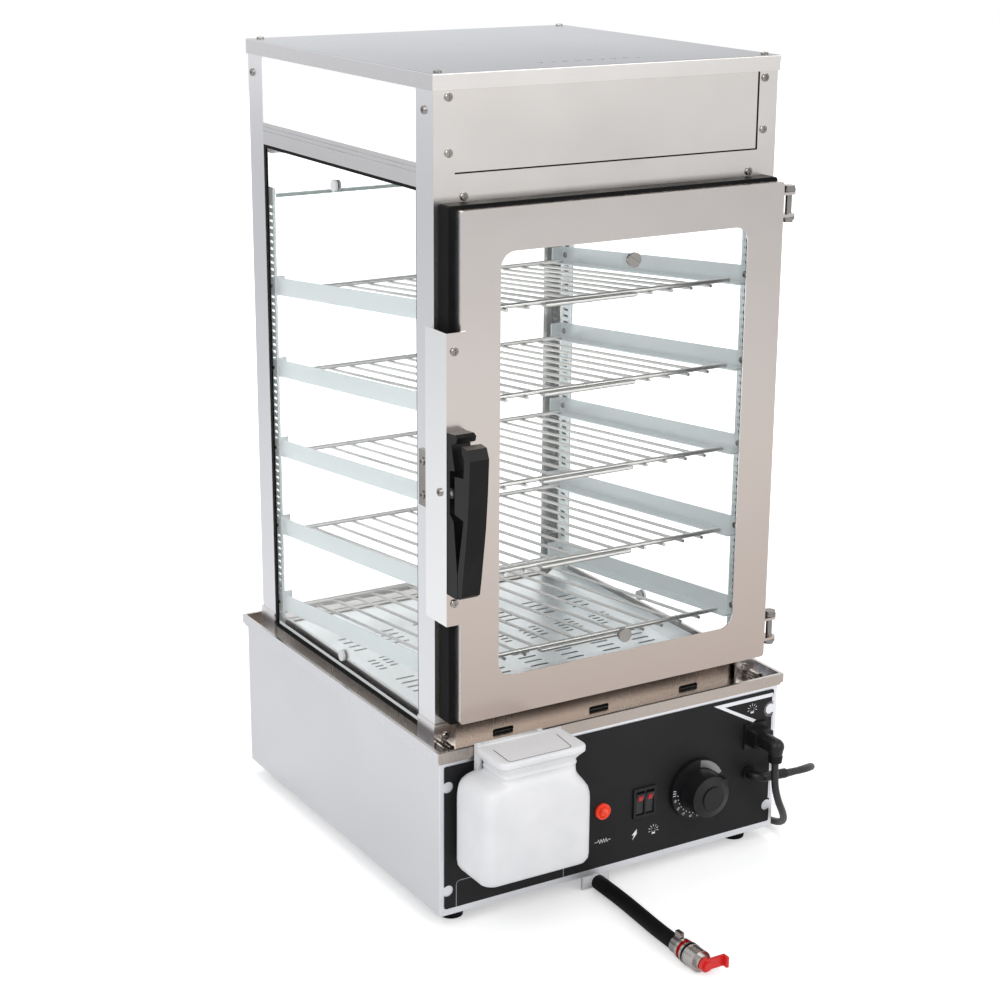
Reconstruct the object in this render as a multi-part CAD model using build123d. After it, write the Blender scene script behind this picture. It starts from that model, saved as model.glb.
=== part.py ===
from build123d import *
from math import atan, degrees, pi, radians, sqrt, tan
import os

# Bun steamer: a glass display cabinet with five wire racks on a heated water base.
# Millimetres, +Z up, front at -Y. The origin is on the floor under the middle of the
# whole, which reaches from the front of the water tank to the back of the base lip.

# Overall sizes
base_width = 380.0
base_depth = 409.0
base_height = 160.5
cabinet_height = 591.8
foot_height = 15.0
tank_reach = 56.5
side_gutter = 14.2
front_gutter = 31.1
back_gutter = 20.5

# Sheet, glass and clearances
sheet = 1.2
glass = 4.0
gap = 0.3
fit_gap = 0.05

# Base
lip_skirt = 8.9
lip_overhang = 4.0
rim = 3.0
gutter_depth = 10.5
foot_radius = 13.0
foot_inset = 26.5
pan_side_margin = 25.8
pan_front_margin = 33.4
pan_back_margin = 34.0
pan_depth = 90.0
heater_radius = 4.0

# Cabinet
post_side_flange = 29.5
post_front_flange = 20.0
sleeve_height = 24.0
bottom_rail_height = 11.4
front_rail_height = 30.0
front_rail_set_back = 5.4
cross_rail_height = 20.2
cross_rail_top = 516.5
trim_height = 25.2
trim_top = 509.2
roof_skirt = 13.6
vent_count = 9
vent_pitch = 12.5
vent_radius = 2.6
pane_gasket = 1.5
button_radius = 5.5
door_button_radius = 6.5

# Racks
tiers = 5
tier_pitch = 80.8
top_rail_rise = 384.3
slope = 0.105
rail_height = 17.0
rail_ledge = 13.0
rack_rod = 2.2
rack_wire = 1.5
rack_wires = 13
rack_side_gap = 11.0
rack_wire_margin = 24.2
rack_grip = 47.5

# Door
door_height = 451.8
door_rise = 31.4
door_left_margin = 10.3
door_right_margin = 8.2
door_front_step = 27.0
door_return = 11.0
window_margin = 36.9
window_side_margin = 38.7
window_radius = 14.0
hinge_out = 5.2
hinge_step = 16.6
hinge_pin = 3.0

# Planes and lines that the pieces share
base_y = tank_reach / 2
lip_x = base_width / 2
lip_front = base_y - base_depth / 2
lip_back = base_y + base_depth / 2
lip_top = foot_height + base_height
body_x = lip_x - lip_overhang
body_front = lip_front + lip_overhang
body_back = lip_back - lip_overhang
deck = lip_top - gutter_depth
cab_x = lip_x - side_gutter
cab_front = lip_front + front_gutter
cab_back = lip_back - back_gutter
roof_top = deck + cabinet_height
roof_under = roof_top - sheet
skin_x = cab_x - sheet
pan_x = cab_x - pan_side_margin
pan_front = cab_front + pan_front_margin
pan_back = cab_back - pan_back_margin
pan_floor = deck - pan_depth
middle_y = (cab_front + cab_back) / 2

os.makedirs("parts", exist_ok=True)


# Helpers

def box(x0, x1, y0, y1, z0, z1):
    """Block between two planes on each axis."""
    size = (abs(x1 - x0), abs(y1 - y0), abs(z1 - z0))
    return Pos((x0 + x1) / 2, (y0 + y1) / 2, (z0 + z1) / 2) * Box(*size)


def round_x(y, z, x0, x1, radius):
    """Round bar along X."""
    return Pos((x0 + x1) / 2, y, z) * Rot(0, 90, 0) * Cylinder(radius, abs(x1 - x0))


def round_y(x, z, y0, y1, radius):
    """Round bar along Y."""
    return Pos(x, (y0 + y1) / 2, z) * Rot(90, 0, 0) * Cylinder(radius, abs(y1 - y0))


def round_z(x, y, z0, z1, radius):
    """Round bar along Z."""
    return Pos(x, y, (z0 + z1) / 2) * Cylinder(radius, abs(z1 - z0))


def prism_x(points, x0, x1):
    """Prism along X over an outline of (y, z) points."""
    face = make_face(Polyline(*points, close=True))
    return extrude(Plane.YZ.offset(x0) * face, amount=x1 - x0)


def prism_y(points, y0, y1):
    """Prism along Y over an outline of (x, z) points."""
    face = make_face(Polyline(*points, close=True))
    return extrude(Plane.XZ.offset(-y1) * face, amount=y1 - y0)


def plate_y(face, y0, y1):
    """Plate facing the front, from a face drawn in (x, z)."""
    return extrude(Plane.XZ.offset(-y1) * face, amount=y1 - y0)


def rect_face(x0, x1, z0, z1, radius=0.0):
    """Rectangle between two pairs of lines, with round corners where a radius is given."""
    if radius > 0:
        shape = RectangleRounded(x1 - x0, z1 - z0, radius)
    else:
        shape = Rectangle(x1 - x0, z1 - z0)
    return Pos((x0 + x1) / 2, (z0 + z1) / 2) * shape


def screw(length, shank=1.8, head=3.6, head_height=1.8):
    """Pan-head screw with a cross recess: head above z = 0, shank below."""
    body = Pos(0, 0, head_height / 2) * Cylinder(head, head_height)
    body = chamfer(body.edges().sort_by(Axis.Z)[-1], head_height / 3)
    body += Pos(0, 0, -length / 2) * Cylinder(shank, length)
    slot = Box(head * 1.1, head * 0.28, head_height)
    recess = slot + Rot(0, 0, 90) * slot
    return body - Pos(0, 0, head_height) * recess


def to_front(shape):
    """Turn a shape's +Z to the front."""
    return Rot(90, 0, 0) * shape


def to_left(shape):
    """Turn a shape's +Z to -X."""
    return Rot(0, -90, 0) * shape


def to_right(shape):
    """Turn a shape's +Z to +X."""
    return Rot(0, 90, 0) * shape


nodes = {}


def keep(name, *shapes):
    """Add every solid of the given shapes to a node."""
    solids = [solid for shape in shapes for solid in shape.solids()]
    nodes.setdefault(name, []).extend(solids)


# Base housing

panel_y = body_front
label = 0.8
label_y = panel_y - label
label_rows = (foot_height + 6.5, foot_height + 145.0)
knob_x = body_x - 94.0
knob_z = foot_height + 62.5
shaft_radius = 3.0
bezel_x = body_x - 153.2
bezel_z = foot_height + 62.0
bezel_width = 25.5
bezel_height = 30.0
pilot_x = body_x - 200.1
pilot_z = foot_height + 63.4
pilot_radius = 7.8
socket_x = body_x - 26.2
socket_z = foot_height + 102.5
gland_x = body_x - 32.0
gland_z = foot_height + 64.0
gland_radius = 7.0
tank_x = -body_x + 67.0
feed_z = foot_height + 73.0
feed_radius = 6.0
drain_x = -18.0
drain_y = body_front + 40.0
drain_z = 7.4
drain_radius = 7.0
drain_bore = 5.0
foot_x = body_x - 26.0
foot_rows = (body_front + foot_inset, body_back - foot_inset)
notch_x = body_x - 7.5
notch_rows = (foot_height + 24.0, foot_height + 125.0)


def base_shell():
    outer = box(-body_x, body_x, panel_y + sheet, body_back, foot_height, deck - sheet)
    inner = box(-body_x + sheet, body_x - sheet, panel_y, body_back - sheet, 0, deck)
    keep("base_shell", outer - inner)


def base_bottom():
    plate = box(-body_x + sheet, body_x - sheet, panel_y + sheet, body_back - sheet,
                foot_height, foot_height + sheet)
    plate -= round_z(drain_x, drain_y, 0, deck, drain_radius + gap)
    for x in (-foot_x, foot_x):
        for y in foot_rows:
            plate -= round_z(x, y, 0, deck, 2.0 + gap)
    keep("base_shell", plate)


def panel_cuts(y0, y1):
    """Everything that passes through the front panel."""
    cuts = round_y(knob_x, knob_z, y0, y1, shaft_radius + 1.0)
    cuts += box(bezel_x - bezel_width / 2 + 1.5, bezel_x + bezel_width / 2 - 1.5, y0, y1,
                bezel_z - bezel_height / 2 + 1.5, bezel_z + bezel_height / 2 - 1.5)
    cuts += round_y(pilot_x, pilot_z, y0, y1, pilot_radius - 1.8)
    cuts += round_y(socket_x, socket_z, y0, y1, 9.0)
    cuts += round_y(gland_x, gland_z, y0, y1, gland_radius - 1.0)
    cuts += round_y(tank_x, feed_z, y0, y1, feed_radius + gap)
    return cuts


def front_panel():
    sheet_plate = box(-body_x, body_x, panel_y, panel_y + sheet, foot_height, deck - sheet)
    keep("front_panel", sheet_plate - panel_cuts(panel_y - 5, panel_y + 5))


def control_label():
    face = rect_face(-body_x + 4.0, body_x - 4.0, label_rows[0], label_rows[1], 2.0)
    for x in (-notch_x, notch_x):
        for z in notch_rows:
            face -= Pos(x, z) * Circle(5.5)
    plate = plate_y(face, label_y, panel_y)
    keep("control_label", plate - panel_cuts(panel_y - 5, panel_y + 5))


def base_top():
    skirt = box(-lip_x, lip_x, lip_front, lip_back, lip_top - lip_skirt, lip_top)
    turn_x = lip_x - rim + sheet
    turn = box(-turn_x, turn_x, lip_front + rim - sheet, lip_back - rim + sheet,
               deck - sheet, lip_top - lip_skirt)
    hollow = box(-lip_x + rim, lip_x - rim, lip_front + rim, lip_back - rim, deck, lip_top + 1)
    opening = box(-pan_x, pan_x, pan_front, pan_back, deck - 5, deck + 5)
    keep("base_top", skirt + turn - hollow - opening)


def water_pan():
    wall_x = pan_x - gap
    y0 = pan_front + gap
    y1 = pan_back - gap
    flange = box(-pan_x - 9, pan_x + 9, pan_front - 9, pan_back + 9, deck, deck + sheet)
    tub = box(-wall_x, wall_x, y0, y1, pan_floor, deck + sheet)
    inside = box(-wall_x + sheet, wall_x - sheet, y0 + sheet, y1 - sheet,
                 pan_floor + sheet, deck + 5)
    pan = flange + tub - inside
    for x in (-heater_x, heater_x):
        pan -= round_y(x, heater_z, y0 - 5, y0 + 5, heater_radius + gap)
    pan -= round_y(tank_x, feed_z, y0 - 5, y0 + 5, feed_radius + gap)
    pan -= round_z(drain_x, pan_front + 14, pan_floor - 5, pan_floor + 5, drain_bore + gap)
    keep("water_pan", pan)


heater_x = 60.0
heater_z = pan_floor + 20.0


def heating_element():
    start = pan_front - 20.0
    end = pan_back - 45.0
    path = FilletPolyline((-heater_x, start, heater_z), (-heater_x, end, heater_z),
                          (heater_x, end, heater_z), (heater_x, start, heater_z), radius=45.0)
    section = Plane(origin=(-heater_x, start, heater_z), z_dir=(0, 1, 0)) * Circle(heater_radius)
    tube = sweep(section, path=path)
    collars = [round_y(x, heater_z, pan_front + gap + sheet, pan_front + 8, 9.0)
               for x in (-heater_x, heater_x)]
    keep("heating_element", tube + collars[0] + collars[1])


def feed_pipe():
    y0 = tank_back_y - tank_wall - 3.0
    y1 = pan_front + gap + sheet + 3.0
    pipe = round_y(tank_x, feed_z, y0, y1, feed_radius)
    keep("water_pipes", pipe - round_y(tank_x, feed_z, y0 - 1, y1 + 1, feed_radius - 1.5))


def drain_elbow():
    """Outlet under the pan: down, forward, down through the bottom and out to the front."""
    top_y = pan_front + 14
    turn_z = pan_floor - 22
    front = drain_hose_start
    def run(radius, over):
        pipe = round_z(drain_x, top_y, turn_z, pan_floor + over, radius)
        pipe += Pos(drain_x, top_y, turn_z) * Sphere(radius)
        pipe += round_y(drain_x, turn_z, drain_y, top_y, radius)
        pipe += Pos(drain_x, drain_y, turn_z) * Sphere(radius)
        pipe += round_z(drain_x, drain_y, drain_z, turn_z, radius)
        pipe += Pos(drain_x, drain_y, drain_z) * Sphere(radius)
        return pipe + round_y(drain_x, drain_z, front - over, drain_y, radius)
    keep("water_pipes", run(drain_radius, 0) - run(drain_bore - 0.5, 1))


def feet():
    """Four tapered rubber feet, each with a recess for its screw."""
    shapes = []
    screws = []
    recess = 7.0
    for x in (-foot_x, foot_x):
        for y in foot_rows:
            foot = Pos(x, y, foot_height / 2) * Cone(foot_radius - 2.0, foot_radius, foot_height)
            foot -= round_z(x, y, -1, recess, 5.0)
            foot -= round_z(x, y, -1, foot_height + 1, 2.0 + gap)
            shapes.append(foot)
            body = Rot(180, 0, 0) * screw(foot_height - recess + 8, 2.0, 4.2, 2.4)
            screws.append(Pos(x, y, recess) * body)
    keep("feet", *shapes)
    keep("body_screws", *screws)


# Cabinet frame

corners = [(side, y, inward) for side in (-1, 1) for y, inward in ((cab_front, 1), (cab_back, -1))]
post_edge_x = cab_x - post_front_flange
side_front_y = cab_front + post_side_flange
side_back_y = cab_back - post_side_flange
rail_bottom = deck + cross_rail_top - cross_rail_height
rail_top = deck + cross_rail_top
shelf_z = rail_bottom + sheet
shelf_top = shelf_z + 3.0
trim_z = deck + trim_top - trim_height
trim_screw_x = cab_x - 28.8
trim_screw_z = trim_z + 6.5
roof_screw_in = 9.0
tab = 18.0
sleeve = 1.5
sleeve_screw_in = 10.0
pane_x = skin_x - pane_gasket
pane_inner_x = pane_x - glass
pane_z = deck + bottom_rail_height
pane_top = rail_bottom - gap
button_y = middle_y + 5.0
button_rows = (deck + 27.6, rail_bottom - 19.9)
back_glass_y = cab_back - 15.0
back_glass_top = deck + 446.0
back_glass_x = cab_x - 8.5
lamp_y = cab_front + 90.0
lamp_z = roof_under - 34.0
lamp_radius = 8.0
lamp_end_x = 140.0


def angle(side, y, inward, x_leg, y_leg, thick, z0, z1, out=0.0):
    """Angle section round a cabinet corner, its faces standing out from the corner's planes."""
    x = side * (cab_x + out)
    y -= inward * out
    front = box(x, x - side * x_leg, y, y + inward * thick, z0, z1)
    flank = box(x, x - side * thick, y, y + inward * y_leg, z0, z1)
    return front + flank


def post_hardware_holes(side):
    """Screw holes in a front post: the hinges on the right, the strike on the left."""
    holes = []
    if side > 0:
        holes = [(y, z) for y in hinge_screw_ys for z in hinge_rows]
    else:
        holes = [(strike_screw_y, latch_z + rise) for rise in (-15, 15)]
    return [round_x(y, z, side * (cab_x - 3), side * (cab_x + 3), 1.8 + gap) for y, z in holes]


header_screw_x = cab_x - 14.2
header_screw_rows = (roof_top - 64.8, roof_top - 19.3)
side_screw_z = roof_top - 30.4


def side_screw_y(y, inward):
    """Where the screw of a side diffuser sits on a post."""
    return y + 15.4 if inward > 0 else y - 9.4


def corner_posts():
    posts = []
    for side, y, inward in corners:
        post = angle(side, y, inward, post_front_flange, post_side_flange, sheet, deck, roof_under)
        post += box(side * cab_x, side * (cab_x - tab), y, y + inward * tab,
                    roof_under - sheet, roof_under)
        post -= round_z(side * (cab_x - roof_screw_in), y + inward * roof_screw_in,
                        roof_under - 3, roof_under + 3, 1.8 + gap)
        post -= round_y(side * (cab_x - sleeve_screw_in), deck + sleeve_height / 2,
                        y - 3, y + 3, 1.8 + gap)
        post -= round_x(side_screw_y(y, inward), side_screw_z, side * (cab_x - 3),
                        side * (cab_x + 3), 1.8 + gap)
        if inward > 0:
            post -= post_hardware_holes(side)
            for z in header_screw_rows:
                post -= round_y(side * header_screw_x, z, y - 3, y + 3, 1.8 + gap)
        posts.append(post)
    keep("corner_posts", *posts)


def post_sleeves():
    """Covers round the posts' feet, each held by one screw."""
    covers = []
    screws = []
    for side, y, inward in corners:
        x = side * (cab_x - sleeve_screw_in)
        z = deck + sleeve_height / 2
        cover = angle(side, y, inward, post_front_flange + sleeve, post_side_flange + sleeve,
                      sleeve, deck, deck + sleeve_height, sleeve)
        covers.append(cover - round_y(x, z, y - 4, y + 4, 1.8 + gap))
        turned = to_front(screw(4.0)) if inward > 0 else Rot(0, 0, 180) * to_front(screw(4.0))
        screws.append(Pos(x, y - inward * sleeve, z) * turned)
    keep("corner_posts", *covers)
    keep("body_screws", *screws)


def gutter_clips():
    """In the front gutter: a ribbed rest at the left post, a tube on a saddle at the right one."""
    y0 = cab_front - 15.5
    y1 = cab_front - 2.5
    rest = box(-cab_x - 1.2, -cab_x + 12.3, y0, y1, deck, deck + 2.5)
    for x in (-cab_x - 0.2, -cab_x + 5.2, -cab_x + 9.5):
        rest += box(x, x + 1.6, y0, y1, deck + 2, deck + 7.5)
    x = cab_x - 5.3
    z = deck + 5.3
    tube_y = (y0 - 3, y1 - 2.5)
    saddle = box(x - 4.5, x + 4.5, y0, y1 - 4, deck, deck + 2.5)
    pipe = saddle + round_y(x, z, *tube_y, 4.5) - round_y(x, z, tube_y[0] - 1, tube_y[1] + 1, 2.8)
    keep("post_hardware", rest, pipe)


def bottom_rails():
    top = deck + bottom_rail_height
    rails = []
    for side in (-1, 1):
        web = box(side * cab_x, side * skin_x, side_front_y, side_back_y, deck, top)
        flange = box(side * cab_x, side * (cab_x - 12), side_front_y, side_back_y, top - sheet, top)
        rails.append(web + flange)
    back = box(-post_edge_x, post_edge_x, cab_back - sheet, cab_back, deck, top)
    back += box(-post_edge_x, post_edge_x, cab_back - 24, cab_back, top - sheet, top)
    rails.append(back)
    y = cab_front + front_rail_set_back
    front_top = deck + front_rail_height
    front = box(-skin_x, skin_x, y, y + sheet, deck, front_top)
    flange_x = rail_x - gap
    front += box(-flange_x, flange_x, y, y + 12, front_top - sheet, front_top)
    for x in (-102.0, 2.0, 104.0):
        notch = Pos(x, deck + 1.5) * SlotOverall(22.0, 5.0)
        front -= plate_y(notch, y - 2, y + 3)
    rails.append(front)
    keep("cabinet_rails", *rails)


def cross_rails():
    """Channels along both sides, between the tall panes and the light box."""
    rails = []
    for side in (-1, 1):
        web = box(side * cab_x, side * skin_x, side_front_y, side_back_y, rail_bottom, rail_top)
        low = box(side * cab_x, side * (cab_x - 9), side_front_y, side_back_y,
                  rail_bottom, rail_bottom + sheet)
        high = box(side * cab_x, side * (cab_x - 14), side_front_y, side_back_y,
                   rail_top - sheet, rail_top)
        rails.append(web + low + high)
    keep("cabinet_rails", *rails)


def roof_panel():
    out = 0.15 + sheet
    shell = box(-cab_x - out, cab_x + out, cab_front - out, cab_back + out,
                roof_top - roof_skirt, roof_top)
    shell = fillet(shell.edges().group_by(Axis.Z)[-1], 1.0)
    shell -= box(-cab_x - 0.15, cab_x + 0.15, cab_front - 0.15, cab_back + 0.15,
                 roof_top - roof_skirt - 1, roof_under)
    for i in range(vent_count):
        x = (i - (vent_count - 1) / 2) * vent_pitch
        shell -= round_z(x, cab_front + 38.4, roof_top - 3, roof_top + 3, vent_radius)
    screws = []
    for side, y, inward in corners:
        x = side * (cab_x - roof_screw_in)
        y += inward * roof_screw_in
        shell -= round_z(x, y, roof_top - 3, roof_top + 3, 1.8 + gap)
        screws.append(Pos(x, y, roof_top) * screw(6.0))
    keep("roof_panel", shell)
    keep("body_screws", *screws)


def light_box():
    """Sign panel, trim, side diffusers, back panel, clear ceiling and the lamp."""
    top = roof_under - sheet - gap
    sign = box(-cab_x + 8, cab_x - 8, cab_front + sheet, cab_front + sheet + 3, shelf_top + 2, top)
    screws = []
    for x in (-header_screw_x, header_screw_x):
        for z in header_screw_rows:
            sign -= round_y(x, z, cab_front - 3, cab_front + 9, 1.8 + gap)
            screws.append(Pos(x, cab_front, z) * to_front(screw(6.0)))
    keep("sign_panel", sign)
    trim = box(-post_edge_x, post_edge_x, cab_front, cab_front + sheet, trim_z, deck + trim_top)
    trim += box(-post_edge_x, post_edge_x, cab_front, cab_front + 14, trim_z, trim_z + sheet)
    for x in (-trim_screw_x, trim_screw_x):
        trim -= round_y(x, trim_screw_z, cab_front - 3, cab_front + 3, 1.8 + gap)
        screws.append(Pos(x, cab_front, trim_screw_z) * to_front(screw(6.0)))
    keep("lamp_box_panels", trim)
    for side in (-1, 1):
        diffuser = box(side * skin_x, side * (skin_x - 3), cab_front + sheet + gap,
                       cab_back - sheet - gap, rail_top, top)
        for y, inward in ((cab_front, 1), (cab_back, -1)):
            y = side_screw_y(y, inward)
            diffuser -= round_x(y, side_screw_z, side * (cab_x - 9), side * (cab_x + 3), 1.8 + gap)
            head = to_right(screw(5.5)) if side > 0 else to_left(screw(5.5))
            screws.append(Pos(side * cab_x, y, side_screw_z) * head)
        keep("side_diffusers", diffuser)
    keep("body_screws", *screws)
    back = box(-post_edge_x, post_edge_x, cab_back - sheet, cab_back, trim_z, roof_under)
    back += box(-post_edge_x, post_edge_x, cab_back - 14, cab_back, trim_z, trim_z + sheet)
    back -= round_y(lamp_gland_x, lamp_gland_z, cab_back - 5, cab_back + 5, 4.0 + gap)
    keep("lamp_box_panels", back)
    shelf = box(-skin_x + gap, skin_x - gap, cab_front + 6, cab_back - 6, shelf_z, shelf_top)
    keep("cabinet_glass", shelf)


def lamp():
    tube = round_x(lamp_y, lamp_z, -lamp_end_x + 12, lamp_end_x - 12, lamp_radius - 0.4)
    holders = []
    for side in (-1, 1):
        tube += round_x(lamp_y, lamp_z, side * (lamp_end_x - 14), side * lamp_end_x, lamp_radius)
        holder = box(side * (lamp_end_x - 4), side * (lamp_end_x + 8), lamp_y - 11, lamp_y + 11,
                     lamp_z - 12, roof_under)
        holder -= round_x(lamp_y, lamp_z, side * (lamp_end_x - 9), side * (lamp_end_x + gap),
                          lamp_radius + gap)
        holders.append(holder)
    keep("lamp", tube)
    keep("lamp", *holders)


def side_panes():
    """Tall side panes with their black gaskets and the two bolts of each pane."""
    gaskets = []
    buttons = []
    for side in (-1, 1):
        y0 = cab_front + 8
        y1 = cab_back - 8
        pane = box(side * pane_x, side * pane_inner_x, y0, y1, pane_z, pane_top)
        seal = box(side * skin_x, side * pane_x, y0, y1, pane_z, pane_top)
        seal -= box(side * cab_x, side * (pane_x - 1), side_front_y + 3, side_back_y - 3,
                    pane_z + 3, pane_top - 3)
        gaskets.append(seal)
        for z in button_rows:
            pane -= round_x(button_y, z, side * (pane_x + 3), side * (pane_inner_x - 3), 2.5 + gap)
            bolt = round_x(button_y, z, side * (pane_x + 2.5), side * pane_x, button_radius)
            bolt += round_x(button_y, z, side * pane_x, side * pane_inner_x, 2.5)
            bolt += round_x(button_y, z, side * pane_inner_x, side * (pane_inner_x - 2), 5.0)
            buttons.append(bolt)
        keep("cabinet_glass", pane)
    keep("pane_gaskets", *gaskets)
    keep("pane_buttons", *buttons)


def back_glass():
    y0 = back_glass_y - glass
    pane = box(-back_glass_x, back_glass_x, y0, back_glass_y, pane_z, back_glass_top)
    keep("cabinet_glass", pane)
    clips = []
    for side in (-1, 1):
        x0 = side * (cab_x - 8.5)
        x1 = side * (cab_x - 18.5)
        high = box(x0, x1, back_glass_y, cab_back - sheet, back_glass_top - 6, back_glass_top + 4)
        high += box(x0, x1, y0, back_glass_y, back_glass_top + gap, back_glass_top + 4)
        low = box(x0, x1, back_glass_y, cab_back - sheet, pane_z + 30, pane_z + 40)
        clips += [high, low]
    keep("clear_clips", *clips)


# Steam floor and racks

floor_top = deck + 10.0
floor_x = pan_x
floor_rim_x = pan_x + 13.0
floor_front = pan_front - 8.0
floor_back = pan_back + 8.0
slot_pitch = 42.0
slot_columns = 7
long_slot_rows = 4
long_slot_pitch = 11.4
long_slot_start = 31.0
short_slot_rows = 4
short_slot_pitch = 7.7
standard_x = pane_inner_x - gap
rail_x = standard_x - 2.8
standard_width = 16.0
standard_rows = (cab_front + post_side_flange - 6.1, cab_back - post_side_flange + 0.5)
standard_top = deck + 455.0
standard_slots_per_tier = 12
standard_slot = (9.0, 2.6)


def steam_floor():
    """Slotted plate over the pan, with sloping side rims and turned-down ends."""
    outline = [(-floor_rim_x, floor_top + 9), (-floor_x, floor_top), (floor_x, floor_top),
               (floor_rim_x, floor_top + 9), (floor_rim_x, floor_top + 9 - sheet),
               (floor_x, floor_top - sheet), (-floor_x, floor_top - sheet),
               (-floor_rim_x, floor_top + 9 - sheet)]
    plate = prism_y(outline, floor_front, floor_back)
    foot_z = deck + sheet
    for y in (floor_front, floor_back - sheet):
        plate += box(-floor_x, floor_x, y, y + sheet, foot_z, floor_top - sheet / 2)
    slots = []
    middle = base_y
    for column in range(slot_columns):
        x = (column - (slot_columns - 1) / 2) * slot_pitch
        for row in range(long_slot_rows):
            reach = long_slot_start + row * long_slot_pitch
            slots.append(Pos(x, middle - reach) * SlotOverall(20.0, 3.0))
            slots.append(Pos(x, middle + reach + 24.0) * SlotOverall(20.0, 3.0))
        for row in range(short_slot_rows):
            y = middle + row * short_slot_pitch
            slots.append(Pos(x - 7, y) * SlotOverall(9.0, 2.8))
            slots.append(Pos(x + 7, y + short_slot_pitch / 2) * SlotOverall(9.0, 2.8))
    cutter = extrude(Pos(0, 0, floor_top - 5) * Sketch(children=slots), amount=10)
    keep("steam_floor", plate - cutter)


def rail_line(tier, y):
    """Height of a rail's top edge: the rails fall to the back."""
    return deck + top_rail_rise - tier * tier_pitch - slope * (y - base_y)


def rack_standards():
    """Perforated uprights at the four corners, each with a ladder of narrow slots."""
    shapes = []
    step = tier_pitch / standard_slots_per_tier
    rows = int((standard_top - pane_z - 20) / step)
    heights = [pane_z + 14 + row * step for row in range(rows)]
    for side in (-1, 1):
        for y in standard_rows:
            half = standard_width / 2
            channel = box(side * standard_x, side * rail_x, y - half, y + half, pane_z, standard_top)
            channel -= box(side * (standard_x + 1), side * (rail_x + sheet), y - half + sheet,
                           y + half - sheet, pane_z - 1, standard_top + 1)
            screw_rows = [rail_line(tier, y) - rail_height / 2 for tier in range(tiers)]
            slots = []
            for z in heights:
                if min(abs(z - row) for row in screw_rows) > 5:
                    slots.append(Pos(y, z) * Rectangle(*standard_slot))
            face = Plane.YZ.offset(side * rail_x - 4) * Sketch(children=slots)
            channel -= extrude(face, amount=8)
            for z in screw_rows:
                channel -= round_x(y, z, side * (rail_x - 3), side * (rail_x + 3), 1.6 + gap)
            shapes.append(channel)
    keep("rack_supports", *shapes)


def rack_rails():
    """Ten sloping angle rails screwed to the uprights, each with an end stop at the back."""
    rails = []
    screws = []
    y0 = standard_rows[0] - 6
    y1 = standard_rows[1] + 6
    for tier in range(tiers):
        top = [(y, rail_line(tier, y)) for y in (y0, y1)]
        for side in (-1, 1):
            inner_x = rail_x - sheet
            web_outline = [top[0], top[1], (y1, top[1][1] - rail_height), (y0, top[0][1] - rail_height)]
            ledge_outline = [(y0, top[0][1] - rail_height + sheet), (y1, top[1][1] - rail_height + sheet),
                             (y1, top[1][1] - rail_height), (y0, top[0][1] - rail_height)]
            xs = sorted((side * rail_x, side * inner_x))
            rail = prism_x(web_outline, *xs)
            xs = sorted((side * inner_x, side * (inner_x - rail_ledge)))
            rail += prism_x(ledge_outline, *xs)
            rail += box(side * inner_x, side * (inner_x - rail_ledge), y1 - sheet, y1,
                        top[1][1] - rail_height + sheet / 2, top[1][1])
            for y in standard_rows:
                z = rail_line(tier, y) - rail_height / 2
                rail -= round_x(y, z, side * (rail_x - 5), side * (rail_x + 3), 1.6 + gap)
                body = screw(3.8, 1.6, 3.0, 1.5)
                body = to_left(body) if side > 0 else to_right(body)
                screws.append(Pos(side * inner_x, y, z) * body)
            rails.append(rail)
    keep("rack_supports", *rails)
    keep("body_screws", *screws)


rack_half_width = rail_x - rack_side_gap
rack_wire_pitch = 2 * (rack_half_width - rack_wire_margin) / (rack_wires - 1)


def rack_shape():
    """One wire rack, flat, with z = 0 on the rails' ledges."""
    front = -140.0
    back = 146.0
    rod_z = rack_rod + gap
    wire_z = rod_z - rack_rod - rack_wire + 0.5
    rack = round_x(front, rod_z, -rack_half_width, rack_half_width, rack_rod)
    rack += round_x(back, rod_z, -rack_half_width, rack_half_width, rack_rod)
    wires = []
    nose = front - rack_rod - 2.5
    for i in range(rack_wires):
        x = (i - (rack_wires - 1) / 2) * rack_wire_pitch
        wires.append(round_y(x, wire_z, nose, back + 5, rack_wire))
    grip_z = rod_z - 2.5
    for x in (-rack_grip, rack_grip):
        wires.append(round_y(x, grip_z, nose, front, 2.0))
        wires.append(Pos(x, nose, grip_z) * Sphere(2.0))
    wires.append(round_x(nose, grip_z, -rack_grip, rack_grip, 2.0))
    return rack.fuse(*wires)


def racks():
    shape = rack_shape()
    tilt = Rot(-degrees(atan(slope)), 0, 0)
    for tier in range(tiers):
        z = rail_line(tier, base_y) - rail_height + sheet
        keep(f"rack_{tier + 1}", Pos(0, base_y, z) * tilt * shape)


# Door, in its own planes

door_x0 = -cab_x + door_left_margin
door_x1 = cab_x - door_right_margin
door_z0 = deck + door_rise
door_z1 = door_z0 + door_height
door_y = cab_front - door_front_step
door_back_y = door_y + door_return
window_x0 = door_x0 + window_side_margin
window_x1 = door_x1 - window_side_margin
window_z0 = door_z0 + window_margin
window_z1 = door_z1 - window_margin
glass_grip = 16.0
seal_reach = 8.0
back_cut = 12.0
gasket_reach = 18.0
door_glass_y = door_y + sheet + 1.5
bolt_x = (window_x0 + window_x1) / 2 + 7.0
bolt_rows = (window_z0 + 14.0, window_z1 - 19.0)
hinge_x = cab_x + hinge_out
hinge_y = cab_front - hinge_step
hinge_rows = (door_z0 + 24.0, door_z1 - 22.0)
hinge_half = 14.0
ear = 2.5
hinge_screw_ys = (cab_front + 7.0, cab_front + 20.0)


def window_face(out, radius=window_radius):
    """The door's window, made larger all round."""
    return rect_face(window_x0 - out, window_x1 + out, window_z0 - out, window_z1 + out, radius)


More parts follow.
